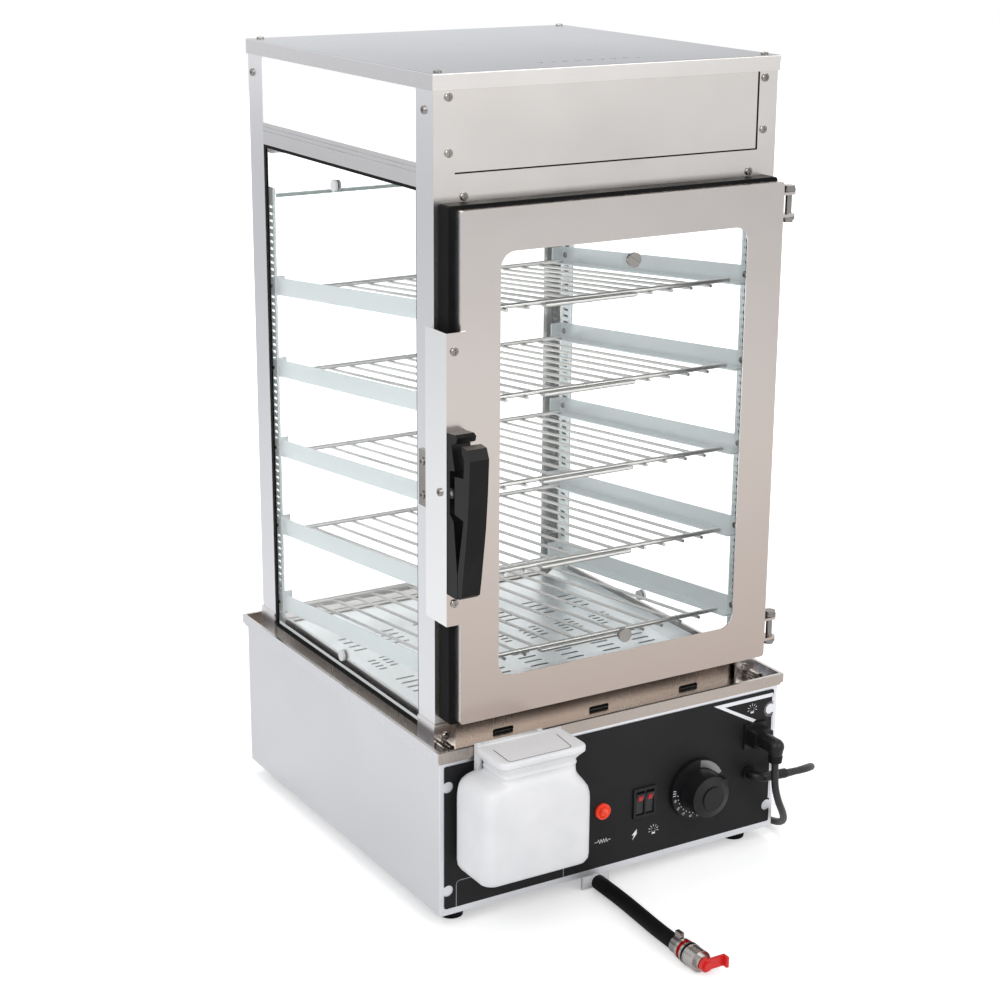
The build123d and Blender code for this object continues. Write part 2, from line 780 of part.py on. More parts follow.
def door_frame():
    face = rect_face(door_x0, door_x1, door_z0, door_z1, 3.0)
    inner = rect_face(door_x0 + sheet, door_x1 - sheet, door_z0 + sheet, door_z1 - sheet, 1.8)
    window = window_face(0)
    pan = plate_y(face, door_y, door_back_y) - plate_y(inner, door_y + sheet, door_back_y - sheet)
    pan -= plate_y(window, door_y - 1, door_back_y + 1)
    pan -= plate_y(window_face(back_cut), door_y + sheet, door_back_y + 1)
    keep("door_frame", pan)


def door_glazing():
    """Pane in its rubber seal, its two bolts and the wide gasket behind the door."""
    slot = window_face(glass_grip, 0)
    pane = plate_y(slot, door_glass_y, door_glass_y + glass)
    bolts = []
    for z in bolt_rows:
        pane -= round_y(bolt_x, z, door_glass_y - 3, door_glass_y + glass + 3, 2.5 + gap)
        bolt = round_y(bolt_x, z, door_glass_y - 2.5, door_glass_y, door_button_radius)
        slot_box = box(bolt_x - 9, bolt_x + 9, door_glass_y - 3, door_glass_y - 1.7, z - 0.8, z + 0.8)
        bolt -= Pos(bolt_x, 0, z) * Rot(0, 35, 0) * Pos(-bolt_x, 0, -z) * slot_box
        bolt += round_y(bolt_x, z, door_glass_y, door_glass_y + glass, 2.5)
        bolt += round_y(bolt_x, z, door_glass_y + glass, door_glass_y + glass + 2, 5.0)
        bolts.append(bolt)
    keep("door_glass", pane)
    keep("door_buttons", *bolts)
    ring = window_face(glass_grip + 3, 0) - window_face(seal_reach)
    seal = plate_y(ring, door_y + sheet, door_back_y - sheet)
    keep("door_gaskets", seal - plate_y(slot, door_glass_y, door_glass_y + glass))
    outer = rect_face(door_x0 - 5.5, door_x1 + 0.4, door_z0 - 3, door_z1 + 3, 3.0)
    outer -= window_face(gasket_reach)
    keep("door_gaskets", plate_y(outer, door_back_y, cab_front - gap))


def hinges():
    """Two pin hinges: an eared bracket on the post, and one on the door between its ears."""
    for z in hinge_rows:
        low = z - hinge_half
        high = z + hinge_half
        bracket = box(cab_x, cab_x + ear, hinge_y + 11, cab_front + 28, low, high)
        for z0 in (low, high - ear):
            bracket += box(cab_x, hinge_x + 3, hinge_y, hinge_y + 14, z0, z0 + ear)
            bracket += round_z(hinge_x, hinge_y, z0, z0 + ear, 6.0)
        bracket -= round_z(hinge_x, hinge_y, low - 1, high + 1, hinge_pin + fit_gap)
        for y in hinge_screw_ys:
            bracket -= round_x(y, z, cab_x - 3, cab_x + ear + 3, 1.8 + gap)
            keep("body_screws", Pos(cab_x + ear, y, z) * to_right(screw(ear + sheet)))
        pin = round_z(hinge_x, hinge_y, low - 2.4, high, hinge_pin)
        pin += round_z(hinge_x, hinge_y, high, high + 2.6, 5.5)
        pin += round_z(hinge_x, hinge_y, low - 2.4, low, 4.6)
        keep("post_hardware", bracket, pin)
        low += ear + gap
        high -= ear + gap
        leaf = box(door_x1, door_x1 + 2, hinge_y - 8, hinge_y, low, high)
        for z0 in (low, high - ear):
            leaf += box(door_x1, hinge_x, hinge_y - 6, hinge_y, z0, z0 + ear)
            leaf += round_z(hinge_x, hinge_y, z0, z0 + ear, 6.0)
        leaf -= round_z(hinge_x, hinge_y, low - 1, high + 1, hinge_pin + fit_gap)
        keep("door_brackets", leaf)


# Latch, on the door's left edge

latch_bracket_z = (door_z0 + 94.6, door_z0 + 352.1)
latch_x0 = -cab_x - 3.7
latch_x1 = latch_x0 + 18.5
latch_side_x = -cab_x - 4.2
latch_y = door_y - 1.5
latch_z = door_z0 + 216.6
latch_pivot = 7.6
latch_cheek = 4.2
latch_pin = 2.0
strike_x = -cab_x - 2.4
strike_screw_y = cab_front + 16.0


def latch_prism(outline, x0, x1):
    """Prism across the latch from (forward, up) points measured from its bracket and pivot."""
    return prism_x([(latch_y - forward, latch_z + up) for forward, up in outline], x0, x1)


def latch_parts():
    z0, z1 = latch_bracket_z
    bracket = box(latch_side_x, door_x0 + 4.7, latch_y, door_y, z0, z1)
    bracket += box(latch_side_x, latch_side_x + 1.5, latch_y, cab_front + 7.7, z0, z1)
    side_y = door_y + 9.5
    side_z = latch_z - 3.5
    for z in (z0 + 20.5, z1 - 15.8):
        bracket -= round_y(latch_side_x + 7.5, z, latch_y - 3, door_y + 3, 1.8 + gap)
        bolt = to_front(screw(6.0)) + Pos(0, 2.75, 0) * Rot(90, 0, 0) * Cylinder(3.4, 2.5)
        keep("door_fasteners", Pos(latch_side_x + 7.5, latch_y, z) * bolt)
    bracket -= round_x(side_y, side_z, latch_side_x - 3, latch_side_x + 4, 1.8 + gap)
    bolt = to_left(screw(6.0)) + Pos(2.75, 0, 0) * Rot(0, 90, 0) * Cylinder(3.4, 2.5)
    keep("door_fasteners", Pos(latch_side_x, side_y, side_z) * bolt)
    keep("door_brackets", bracket)

    base = latch_prism([(0, -92), (16, -92), (18, -88), (17.1, -69), (11.1, -24), (4.5, -19),
                        (4.5, 19), (13, 21), (7.1, 42), (15.6, 45.5), (17, 50), (13, 52), (0, 51)],
                       latch_x0, latch_x1)
    pivot_y = latch_y - latch_pivot
    base += round_x(pivot_y, latch_z, latch_x0, latch_x1, 4.5)
    base += box(latch_x0, latch_x1, pivot_y, latch_y - 4, latch_z - 4.5, latch_z + 4.5)
    base -= box(latch_x0 + latch_cheek, latch_x1 - latch_cheek, latch_y - 30, latch_y - 2.6,
                latch_z - 9, latch_z + 9)
    base -= round_x(pivot_y, latch_z, latch_x0 - 1, latch_x1 + 1, latch_pin + 0.02)
    keep("latch_base", base)
    keep("door_fasteners", round_x(pivot_y, latch_z, latch_x0, latch_x1, latch_pin))

    lever = latch_prism([(24.5, 40), (24.5, 45), (34, 44), (38.1, 35), (36.5, 5), (33.6, -27),
                         (26.7, -73), (24, -88), (20, -91), (18.9, -88), (18.1, -69), (27.7, -19),
                         (12.9, -17), (12.9, 16), (27.6, 18), (28.7, 34)], latch_x0, latch_x1)
    tongue_x0 = latch_x0 + latch_cheek + gap
    tongue_x1 = latch_x1 - latch_cheek - gap
    lever += box(tongue_x0, tongue_x1, latch_y - 14, pivot_y, latch_z - 4.2, latch_z + 4.2)
    lever += round_x(pivot_y, latch_z, tongue_x0, tongue_x1, 4.2)
    lever -= round_x(pivot_y, latch_z, tongue_x0 - 1, tongue_x1 + 1, latch_pin + fit_gap)
    keep("latch_lever", lever)

    strike = box(strike_x, -cab_x, cab_front + 1, cab_front + 23, latch_z - 25, latch_z + 25)
    for z in (latch_z - 15, latch_z + 15):
        strike -= round_x(strike_screw_y, z, strike_x - 3, strike_x + 5, 1.8 + gap)
        keep("body_screws", Pos(strike_x, strike_screw_y, z) * to_left(screw(-cab_x - strike_x + sheet)))
    keep("post_hardware", strike)


# Controls

knob_radius = 30.0
knob_skirt_y = label_y - 1.0
knob_skirt = 3.8
knob_core = 21.5
knob_core_tip = 20.5
knob_crown = 13.0
knob_centre = 11.5
knob_lobe = 10.5
knob_pointer = 40.0
knob_band = 22.4
knob_depth = 30.0


def knob():
    """Thermostat knob: dial skirt, grip with a pointer lobe, on a shaft from the thermostat."""
    front = label_y - knob_depth
    face = knob_skirt_y - knob_skirt
    bevel_y = front + 4.5
    body = round_y(knob_x, knob_z, face, knob_skirt_y, knob_radius)
    core = Pos(knob_x, (face + bevel_y) / 2, knob_z) * Rot(90, 0, 0)
    body += core * Cone(knob_core, knob_core_tip, face - bevel_y)
    lobe = Rot(0, 0, knob_pointer) * Pos(16.3, 0) * Rot(0, 0, 45)
    body += plate_y(Pos(knob_x, knob_z) * lobe * Rectangle(knob_lobe, knob_lobe), bevel_y - 1, face)
    bevel = Pos(knob_x, (bevel_y + front + 1.5) / 2, knob_z) * Rot(90, 0, 0)
    body += bevel * Cone(knob_core_tip, knob_crown, bevel_y - front - 1.5)
    body += round_y(knob_x, knob_z, front, front + 3, knob_centre)
    body -= round_y(knob_x, knob_z, front + 6, knob_skirt_y + 1, shaft_radius + 0.02)
    keep("thermostat_knob", body)
    wedge = Polyline((0, 0), (50, 24), (50, 50), (3, 50), close=True)
    band = Circle(knob_radius - 0.7) - Circle(knob_band)
    band -= lobe * Rectangle(knob_lobe + 0.6, knob_lobe + 0.6)
    band &= make_face(wedge)
    keep("knob_metal", plate_y(Pos(knob_x, knob_z) * band, face - 0.4, face))
    keep("knob_metal", round_y(knob_x, knob_z, front + 6.3, panel_y + 14, shaft_radius))
    case = box(knob_x - 18, knob_x + 18, panel_y + sheet, panel_y + 30, knob_z - 18, knob_z + 18)
    keep("thermostat", case - round_y(knob_x, knob_z, panel_y, panel_y + 16, shaft_radius + fit_gap))


rocker_width = 8.6
rocker_offset = 5.4
rocker_pivot_y = label_y + 3.0
rocker_tilt = 8.0


def rocker_face(height):
    """Depth of a rocker's shallow V face at a height from its pivot."""
    return -3.8 - 1.4 * height / 10.6


def switches():
    """Twin rocker switch: one bezel, two rockers with a red lens on each upper half."""
    w = bezel_width / 2
    h = bezel_height / 2
    bezel = box(bezel_x - w, bezel_x + w, label_y - 2.2, label_y, bezel_z - h, bezel_z + h)
    bezel += box(bezel_x - w + 1.8, bezel_x + w - 1.8, label_y, panel_y + 18,
                 bezel_z - h + 1.8, bezel_z + h - 1.8)
    for side in (-1, 1):
        x = bezel_x + side * rocker_offset
        cavity = rocker_width / 2 + gap
        bezel -= box(x - cavity, x + cavity, label_y - 5, label_y + 9, bezel_z - 12.1, bezel_z + 12.1)
    keep("switch_bezel", bezel)
    turn = Pos(0, rocker_pivot_y, bezel_z) * Rot(rocker_tilt, 0, 0)
    for side, name in ((-1, "power"), (1, "lamp")):
        x = bezel_x + side * rocker_offset
        x0 = x - rocker_width / 2
        x1 = x + rocker_width / 2
        rocker = prism_x([(rocker_face(10.6), 10.6), (rocker_face(0), 0), (rocker_face(10.6), -10.6),
                          (2, -9), (2, 9)], x0, x1)
        keep(f"rocker_{name}", turn * rocker)
        lens = prism_x([(rocker_face(3), 3), (rocker_face(8.6), 8.6), (rocker_face(8.6) - 0.6, 8.6),
                        (rocker_face(3) - 0.6, 3)], x0 + 2, x1 - 2)
        keep(f"lens_{name}", turn * lens)


def pilot():
    body = round_y(pilot_x, pilot_z, label_y - 2.5, label_y, pilot_radius)
    dome = Pos(pilot_x, label_y - 2.5, pilot_z) * Sphere(5.6)
    body += dome - box(pilot_x - 9, pilot_x + 9, label_y - 2.5, label_y + 9, pilot_z - 9, pilot_z + 9)
    body += round_y(pilot_x, pilot_z, label_y, panel_y + 20, pilot_radius - 2.1)
    keep("pilot_lamp", body)


plug_y = lip_front - 30.8
lead_radius = 3.5
relief_z = foot_height + 86.0


def lamp_socket():
    """Panel outlet for the lamp, and the right-angle plug that stands in it."""
    half = 12.75
    flange = box(socket_x - half, socket_x + half, label_y - 2.5, label_y, socket_z - half, socket_z + half)
    body = flange + round_y(socket_x, socket_z, label_y, panel_y + 22, 8.7)
    keep("lamp_socket", body)
    front = label_y - 2.5
    head = box(socket_x - 11, socket_x + 11, front - 13, front, socket_z - 8.5, socket_z + 8.5)
    plug = fillet(head.edges().filter_by(Axis.Y), 2.5)
    plug += round_y(socket_x, socket_z, plug_y, front, 8.0)
    plug += Pos(socket_x, plug_y, socket_z) * Sphere(8.0)
    height = socket_z - relief_z
    plug += Pos(socket_x, plug_y, relief_z + height / 2) * Cone(4.8, 8.0, height)
    for i in range(3):
        plug += round_z(socket_x, plug_y, relief_z + 1 + 2.4 * i, relief_z + 2.2 + 2.4 * i, 6.4 + 0.3 * i)
    keep("lamp_plug", plug)


boot_radius = 4.75
boot_reach = 34.0
boot_drop = 2.5
boot_end = (gland_x + boot_reach, plug_y + 19.05, gland_z - boot_drop)
first_run = 22.0


def mains_gland():
    """Grommet with a bend-relief boot that turns the lead to the right."""
    y = boot_end[1]
    grommet = round_y(gland_x, gland_z, label_y - 3, label_y, gland_radius)
    grommet += round_y(gland_x, gland_z, label_y, panel_y + 6, gland_radius - 1.4)
    grommet += round_y(gland_x, gland_z, panel_y + sheet, panel_y + 6, gland_radius + 1)
    path = FilletPolyline((gland_x, label_y - 2, gland_z), (gland_x, y, gland_z), boot_end, radius=9.0)
    section = Plane(origin=(gland_x, label_y - 2, gland_z), z_dir=(0, -1, 0)) * Circle(boot_radius)
    keep("lead_glands", grommet + sweep(section, path=path))


# Water tank

tank_wall = 2.5
tank_back_y = panel_y - 2.5
tank_front_y = lip_front - tank_reach
tank_half = 56.0
tank_z0 = foot_height + 48.0
tank_z1 = foot_height + 141.0
tank_seam = tank_z1 - 10.0
neck_x = tank_x + 4.0
neck_half = 38.0
neck_y = (lip_front - 51.5, lip_front - 9.5)
neck_top = foot_height + 157.7
lid_x = (tank_x - 40.0, tank_x + 49.0)
lid_z = (foot_height + 158.0, foot_height + 165.0)
lid_hinge_y = lip_front - 4.6
lid_hinge_z = lid_z[0] + 3.5


def tank_block(x, half, y0, y1, z0, z1, radius):
    face = Pos(x, (y0 + y1) / 2, z0) * RectangleRounded(2 * half, y1 - y0, radius)
    return extrude(face, amount=z1 - z0)


def tank():
    """Bottle as its open body and its shoulders with the neck, and the hinged lid."""
    body = tank_block(tank_x, tank_half, tank_front_y, tank_back_y, tank_z0, tank_z1, 9.0)
    body = fillet(body.edges().group_by(Axis.Z)[0], 4.0)
    body = fillet(body.edges().group_by(Axis.Z)[-1], 8.0)
    inner = tank_block(tank_x, tank_half - tank_wall, tank_front_y + tank_wall,
                       tank_back_y - tank_wall, tank_z0 + tank_wall, tank_z1 - tank_wall, 4.5)
    inner = fillet(inner.edges().group_by(Axis.Z)[-1], 4.0)
    neck = tank_block(neck_x, neck_half, neck_y[0], neck_y[1], tank_z1 - 3, neck_top, 8.0)
    mouth = tank_block(neck_x, neck_half - tank_wall, neck_y[0] + tank_wall,
                       neck_y[1] - tank_wall, tank_z1 - 6, neck_top + 1, 3.0)
    bottle = body + neck - inner - mouth
    ridge = (lid_x[0] + 10, lid_x[1] - 22)
    for x0 in (ridge[0] - 5.3, ridge[1] + 0.3):
        lug = box(x0, x0 + 5, lid_hinge_y - 3.6, lid_hinge_y + 3.6, tank_z1 - 6, lid_hinge_z)
        lug += round_x(lid_hinge_y, lid_hinge_z, x0, x0 + 5, 3.6)
        bottle += lug - round_x(lid_hinge_y, lid_hinge_z, x0 - 1, x0 + 6, 1.6 + fit_gap)
    bottle -= round_y(tank_x, feed_z, tank_back_y - 6, tank_back_y + 3, feed_radius + fit_gap)
    below = box(-lip_x, lip_x, tank_front_y - 9, lip_front + 9, foot_height, tank_seam)
    above = box(neck_x - neck_half, neck_x + neck_half, *neck_y, tank_z1, neck_top)
    keep("tank_bottle", bottle & below)
    keep("tank_neck", bottle - below - above, bottle & above)

    y0 = tank_front_y
    y1 = lid_hinge_y - 4.2
    lid = tank_block((lid_x[0] + lid_x[1]) / 2, (lid_x[1] - lid_x[0]) / 2, y0, y1, *lid_z, 6.0)
    hollow = tank_block((lid_x[0] + lid_x[1]) / 2, (lid_x[1] - lid_x[0]) / 2 - 2.2, y0 + 2.2, y1 - 2.2,
                        lid_z[0] - 1, lid_z[1] - 2.2, 4.0)
    lid -= hollow
    for x0, x1, y2, y3 in ((lid_x[0] + 14, lid_x[0] + 15, y0 + 8, y1 - 14),
                           (lid_x[1] - 15, lid_x[1] - 14, y0 + 8, y1 - 14),
                           (lid_x[0] + 14, lid_x[1] - 14, y0 + 8, y0 + 9)):
        lid -= box(x0, x1, y2, y3, lid_z[1] - 0.6, lid_z[1] + 1)
    lid += round_x(lid_hinge_y, lid_hinge_z, *ridge, 3.2)
    lid += box(ridge[0], ridge[1], y1 - 2, lid_hinge_y, lid_hinge_z - 1.2, lid_hinge_z + 1.6)
    lid += round_x(lid_hinge_y, lid_hinge_z, ridge[0] - 4.8, ridge[1] + 4.8, 1.6)
    keep("tank_lid", lid)


# Drain hose and valve

drain_hose_start = lip_front + 2.25
hose_radius = 7.1
drain_route = [(drain_x, drain_hose_start, drain_z), (drain_x, -206.0, drain_z), (-21.0, -246.0, 8.0),
               (-27.0, -290.0, 10.9), (-27.0, -322.0, 10.9)]
valve_x, valve_y, valve_z = drain_route[-1]
hub_y = valve_y - 32.0


def tube(route, radius):
    """Cord tube: straight runs joined by tangent arcs, each as large as its runs allow."""
    points = [Vector(*point) for point in route]
    radii = []
    for before, here, after in zip(points, points[1:], points[2:]):
        turn = (here - before).get_angle(after - here)
        run = min((here - before).length, (after - here).length)
        radii.append(0.45 * run / tan(radians(turn / 2)))
    path = FilletPolyline(*points, radius=radii)
    section = Plane(origin=points[0], z_dir=points[1] - points[0]) * Circle(radius)
    solid = sweep(section, path=path)
    print("tube radii", [round(value) for value in radii])
    print("  length", round(path.length, 1), "volume share", solid.volume / (pi * radius**2 * path.length))
    return solid


def drain():
    keep("drain_hose", tube(drain_route, hose_radius))
    front = drain_hose_start + 3
    strap = box(drain_x - 15, drain_x + 15, front, front + 3, 1.0, foot_height)
    keep("drain_bracket", strap - round_y(drain_x, drain_z, front - 1, front + 5, drain_radius + fit_gap))
    ring_y = valve_y + 5.25
    clamp = round_y(valve_x, valve_z, ring_y - 4.5, ring_y + 4.5, hose_radius + 1.0)
    clamp += box(valve_x - 2, valve_x + 2, ring_y - 4, ring_y + 4, valve_z + 7, valve_z + 14)
    clamp -= round_y(valve_x, valve_z, ring_y - 6, ring_y + 6, hose_radius + fit_gap)
    keep("hose_clamps", clamp)
    valve = round_y(valve_x, valve_z, valve_y - 4, valve_y, 9.5)
    valve += round_y(valve_x, valve_z, valve_y - 9, valve_y - 4, 9.0)
    valve += round_y(valve_x, valve_z, valve_y - 14, valve_y - 9, 10.3)
    valve += round_y(valve_x, valve_z, valve_y - 27, valve_y - 14, 10.0)
    valve += round_y(valve_x, valve_z, hub_y + gap, valve_y - 27, 7.0)
    valve += round_y(valve_x, valve_z, hub_y - 5, hub_y + 2, 2.0)
    valve -= round_z(valve_x, valve_y - 20, -1, valve_z, 4.0)
    keep("drain_valve", valve)
    lever = round_y(valve_x, valve_z, hub_y - 4, hub_y, 6.0)
    lever += box(valve_x, valve_x + 20.5, hub_y - 3.2, hub_y - 0.7, valve_z - 5, valve_z + 5)
    lever += box(valve_x + 18, valve_x + 20.5, hub_y - 8, hub_y - 0.7, valve_z - 5, valve_z + 5)
    lever += round_y(valve_x, valve_z, hub_y - 6.5, hub_y - 4, 3.9)
    lever -= round_y(valve_x, valve_z, hub_y - 5.05, hub_y + 1, 2.0 + fit_gap)
    keep("valve_lever", lever)


# Leads

lamp_gland_x = 106.5
lamp_gland_z = roof_top - 50.8
lamp_gland_y = cab_back + 10.0
lamp_route = [(socket_x, plug_y, relief_z), (socket_x, plug_y, 80.0), (168.0, -204.0, 58.0),
              (182.0, -196.0, 38.0), (195.0, -181.0, 21.0), (203.0, -160.0, 9.0),
              (205.0, -134.0, 4.2), (203.0, -104.0, 3.75), (198.5, -60.0, 3.75),
              (197.5, 0.0, 3.75), (199.0, 62.0, 3.75), (198.5, 126.0, 3.75), (199.0, 186.0, 3.75),
              (200.0, 214.0, 3.75), (194.0, 238.0, 3.75), (178.0, 254.0, 3.75),
              (156.0, 260.0, 3.75), (134.0, 259.0, 6.0), (116.0, 257.0, 17.0), (106.0, 254.0, 36.0),
              (103.0, 251.0, 60.0), (104.0, 248.0, 104.0), (106.0, 246.5, 168.0),
              (107.0, 245.0, 262.0), (105.5, 244.5, 360.0), (106.5, 244.0, 458.0),
              (107.5, 243.0, 552.0), (107.0, 241.0, 618.0), (lamp_gland_x, 232.0, 650.0),
              (lamp_gland_x, lamp_gland_y, 676.0), (lamp_gland_x, lamp_gland_y, lamp_gland_z - 10.0)]
coil_x = 222.0
coil_y = 95.0
coil_radius = 49.0
coil_half_turns = 4
coil_pitch = 7.5
coil_z = 3.75
stub = 2 * lead_radius
mains_route = [boot_end, (boot_end[0] + first_run, boot_end[1],
                          boot_end[2] - first_run * boot_drop / boot_reach),
               (229.0, -179.0, 70.5), (241.0, -162.0, 61.5),
               (244.5, -138.0, 46.5), (243.0, -107.0, 28.0), (238.5, -71.0, 12.0),
               (233.5, -32.0, 4.4), (227.0, 9.0, coil_z), (coil_x, 51.0, coil_z),
               (coil_x, coil_y - stub, coil_z)]
tail = 42.0


def lamp_lead():
    keep("lamp_lead", tube(lamp_route, lead_radius))
    y1 = lamp_gland_y + 9
    gland = box(lamp_gland_x - 9, lamp_gland_x + 9, cab_back, y1, lamp_gland_z - 5, lamp_gland_z + 12)
    gland += round_z(lamp_gland_x, lamp_gland_y, lamp_gland_z - 10, lamp_gland_z - 5, 6.0)
    gland += round_y(lamp_gland_x, lamp_gland_z, cab_back - 6, cab_back, 4.0)
    keep("lead_glands", gland)


def coil_edges():
    """Half turns that spiral in on the floor, climb a layer and spiral out again."""
    high = coil_z + coil_pitch
    edges = [Line((coil_x, coil_y - stub, coil_z), (coil_x, coil_y, coil_z))]
    x = coil_x
    side = 1
    radius = coil_radius
    for _ in range(coil_half_turns):
        centre = x + side * radius
        edges.append(ThreePointArc((x, coil_y, coil_z), (centre, coil_y + side * radius, coil_z),
                                   (centre + side * radius, coil_y, coil_z)))
        x = centre + side * radius
        side = -side
        radius -= coil_pitch / 2
    centre = x + side * radius
    middle = (centre, coil_y + side * sqrt(radius**2 + coil_pitch**2 / 4), coil_z + coil_pitch / 2)
    first = TangentArc((x, coil_y, coil_z), middle, tangent=(0, side, 0))
    edges += [first, TangentArc(middle, (centre + side * radius, coil_y, high), tangent=first % 1)]
    x = centre + side * radius
    side = -side
    for _ in range(coil_half_turns - 1):
        radius += coil_pitch / 2
        centre = x + side * radius
        edges.append(ThreePointArc((x, coil_y, high), (centre, coil_y + side * radius, high),
                                   (centre + side * radius, coil_y, high)))
        x = centre + side * radius
        side = -side
    edges.append(Line((x, coil_y, high), (x, coil_y + side * stub, high)))
    return edges


def least_gap(wire, radius, step, skip):
    """Least gap between stretches of a tube that lie at least `skip` apart along it."""
    count = int(wire.length / step)
    points = [wire @ (i / count) for i in range(count + 1)]
    reach = int(skip / step)
    gaps = [(points[i] - points[j]).length for i in range(count) for j in range(i + reach, count)]
    return min(gaps) - 2 * radius


def mains_lead():
    keep("mains_lead", tube(mains_route, lead_radius))
    edges = coil_edges()
    wire = Wire(edges)
    section = Plane(origin=wire @ 0, z_dir=wire % 0) * Circle(lead_radius)
    keep("mains_coil", sweep(section, path=wire))
    nearest = least_gap(wire, lead_radius, 2.0, 60.0)
    print("coil length", round(wire.length, 1), "least gap", round(nearest, 2))
    end = wire @ 1
    x, y, z = end.X, end.Y, end.Z
    keep("mains_lead", round_y(x, z, y, y + tail, lead_radius))
    y += tail
    plug = Pos(x, y + 6, z) * Rot(-90, 0, 0) * Cone(4.6, 6.5, 12)
    plug += plate_y(rect_face(x - 13, x + 13, z - 10, z + 10, 6.0), y + 12, y + 44)
    for side in (-1, 1):
        plug += box(x + side * 6.5 - 3, x + side * 6.5 + 3, y + 44, y + 61, z - 1, z + 1)
    keep("mains_plug", plug)


# Build every piece and write one file for each node

steps = (base_shell, base_bottom, front_panel, control_label, base_top, water_pan,
         heating_element, feed_pipe, drain_elbow, feet, corner_posts, post_sleeves, gutter_clips,
         bottom_rails,
         cross_rails, roof_panel, light_box, lamp, side_panes, back_glass, steam_floor,
         rack_standards, rack_rails, racks, door_frame, door_glazing, hinges, latch_parts, knob,
         switches, pilot, lamp_socket, mains_gland, tank, drain, lamp_lead, mains_lead)
for step in steps:
    step()
for name, solids in nodes.items():
    export_step(Compound(solids), f"parts/{name}.step")
print(len(nodes), "nodes")
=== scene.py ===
from math import cos, hypot, pi, radians, sin

import bmesh
import bpy
from mathutils import Matrix, Vector


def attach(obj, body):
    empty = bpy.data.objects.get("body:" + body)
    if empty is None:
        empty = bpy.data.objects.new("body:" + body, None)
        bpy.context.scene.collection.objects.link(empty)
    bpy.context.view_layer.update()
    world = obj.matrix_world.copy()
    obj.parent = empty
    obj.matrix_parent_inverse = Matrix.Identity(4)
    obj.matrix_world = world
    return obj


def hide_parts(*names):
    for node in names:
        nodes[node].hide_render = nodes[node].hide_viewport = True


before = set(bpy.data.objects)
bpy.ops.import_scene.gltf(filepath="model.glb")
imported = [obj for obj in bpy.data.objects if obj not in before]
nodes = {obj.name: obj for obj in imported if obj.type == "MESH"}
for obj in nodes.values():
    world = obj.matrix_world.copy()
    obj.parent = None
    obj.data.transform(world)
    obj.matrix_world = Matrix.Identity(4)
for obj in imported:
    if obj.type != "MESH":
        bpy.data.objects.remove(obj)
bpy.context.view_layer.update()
MM = 0.001


# Camera: the photograph's viewing angle

CAMERA_AT = (-1.0323, -1.67275, 0.938)
CAMERA_TURN = (31.118, 17.157, 0.386)
SENSOR = 36.0
LENS = 77.08


def make_camera():
    data = bpy.data.cameras.new("camera")
    data.sensor_width = SENSOR
    data.lens = LENS
    data.clip_start = 0.05
    data.clip_end = 30.0
    camera = bpy.data.objects.new("camera", data)
    bpy.context.scene.collection.objects.link(camera)
    yaw, pitch, roll = [radians(angle) for angle in CAMERA_TURN]
    forward = Vector((sin(yaw) * cos(pitch), cos(yaw) * cos(pitch), -sin(pitch)))
    level = Vector((cos(yaw), -sin(yaw), 0.0))
    upward = level.cross(forward)
    right = cos(roll) * level + sin(roll) * upward
    up = -sin(roll) * level + cos(roll) * upward
    turn = Matrix((right, up, -forward)).transposed()
    camera.matrix_world = Matrix.Translation(CAMERA_AT) @ turn.to_4x4()
    bpy.context.scene.camera = camera


# Cords

LEAD = 3.5
HOSE = 7.1
DRAIN = [(-18, -174, 7.4), (-18, -206, 7.4), (-21, -246, 8), (-27, -290, 10.9),
         (-27, -322, 10.9)]
LAMP = [(159.8, -207.05, 101), (159.8, -207.05, 80), (168, -204, 58), (182, -196, 38),
        (195, -181, 21), (203, -160, 9), (205, -134, 4.2), (203, -104, 3.75), (198.5, -60, 3.75),
        (197.5, 0, 3.75), (199, 62, 3.75), (198.5, 126, 3.75), (199, 186, 3.75), (200, 214, 3.75),
        (194, 238, 3.75), (178, 254, 3.75), (156, 260, 3.75), (134, 259, 6), (116, 257, 17),
        (106, 254, 36), (103, 251, 60), (104, 248, 104), (106, 246.5, 168), (107, 245, 262),
        (105.5, 244.5, 360), (106.5, 244, 458), (107.5, 243, 552), (107, 241, 618),
        (106.5, 232, 650), (106.5, 222.25, 676), (106.5, 222.25, 696)]
MAINS = [(188, -188, 76.5), (210, -188, 74.88), (229, -179, 70.5), (241, -162, 61.5),
         (244.5, -138, 46.5), (243, -107, 28), (238.5, -71, 12), (233.5, -32, 4.4),
         (227, 9, 3.75), (222, 51, 3.75), (222, 88, 3.75)]
COIL_AT = (222.0, 95.0, 3.75)
COIL_RADIUS = 49.0
COIL_PITCH = 7.5
COIL_HALF_TURNS = 8
STUB = 7.0
TAIL = 42.0


def coil_points():
    """Points of the put-away coil, 16 a turn, then its straight tail to the plug."""
    x, y, low = COIL_AT
    high = low + COIL_PITCH
    step = pi / 8
    swell = 1 / cos(step / 2)
    points = []
    side = 1
    radius = COIL_RADIUS
    middle = COIL_HALF_TURNS // 2
    for half in range(COIL_HALF_TURNS):
        centre = x + side * radius
        for k in range(8):
            angle = (k + 0.5) * step
            reach = radius * swell
            if half == middle:
                z = low + COIL_PITCH * (k + 0.5) / 8
            else:
                z = low if half < middle else high
            points.append((centre - side * reach * cos(angle), y + side * reach * sin(angle), z))
        x = centre + side * radius
        side = -side
        radius += COIL_PITCH / 2 if half >= middle else -COIL_PITCH / 2
    points.append((x, y + 3, high))
    points.append((x, y + STUB, high))
    points.append((x, y + STUB + TAIL, high))
    return points


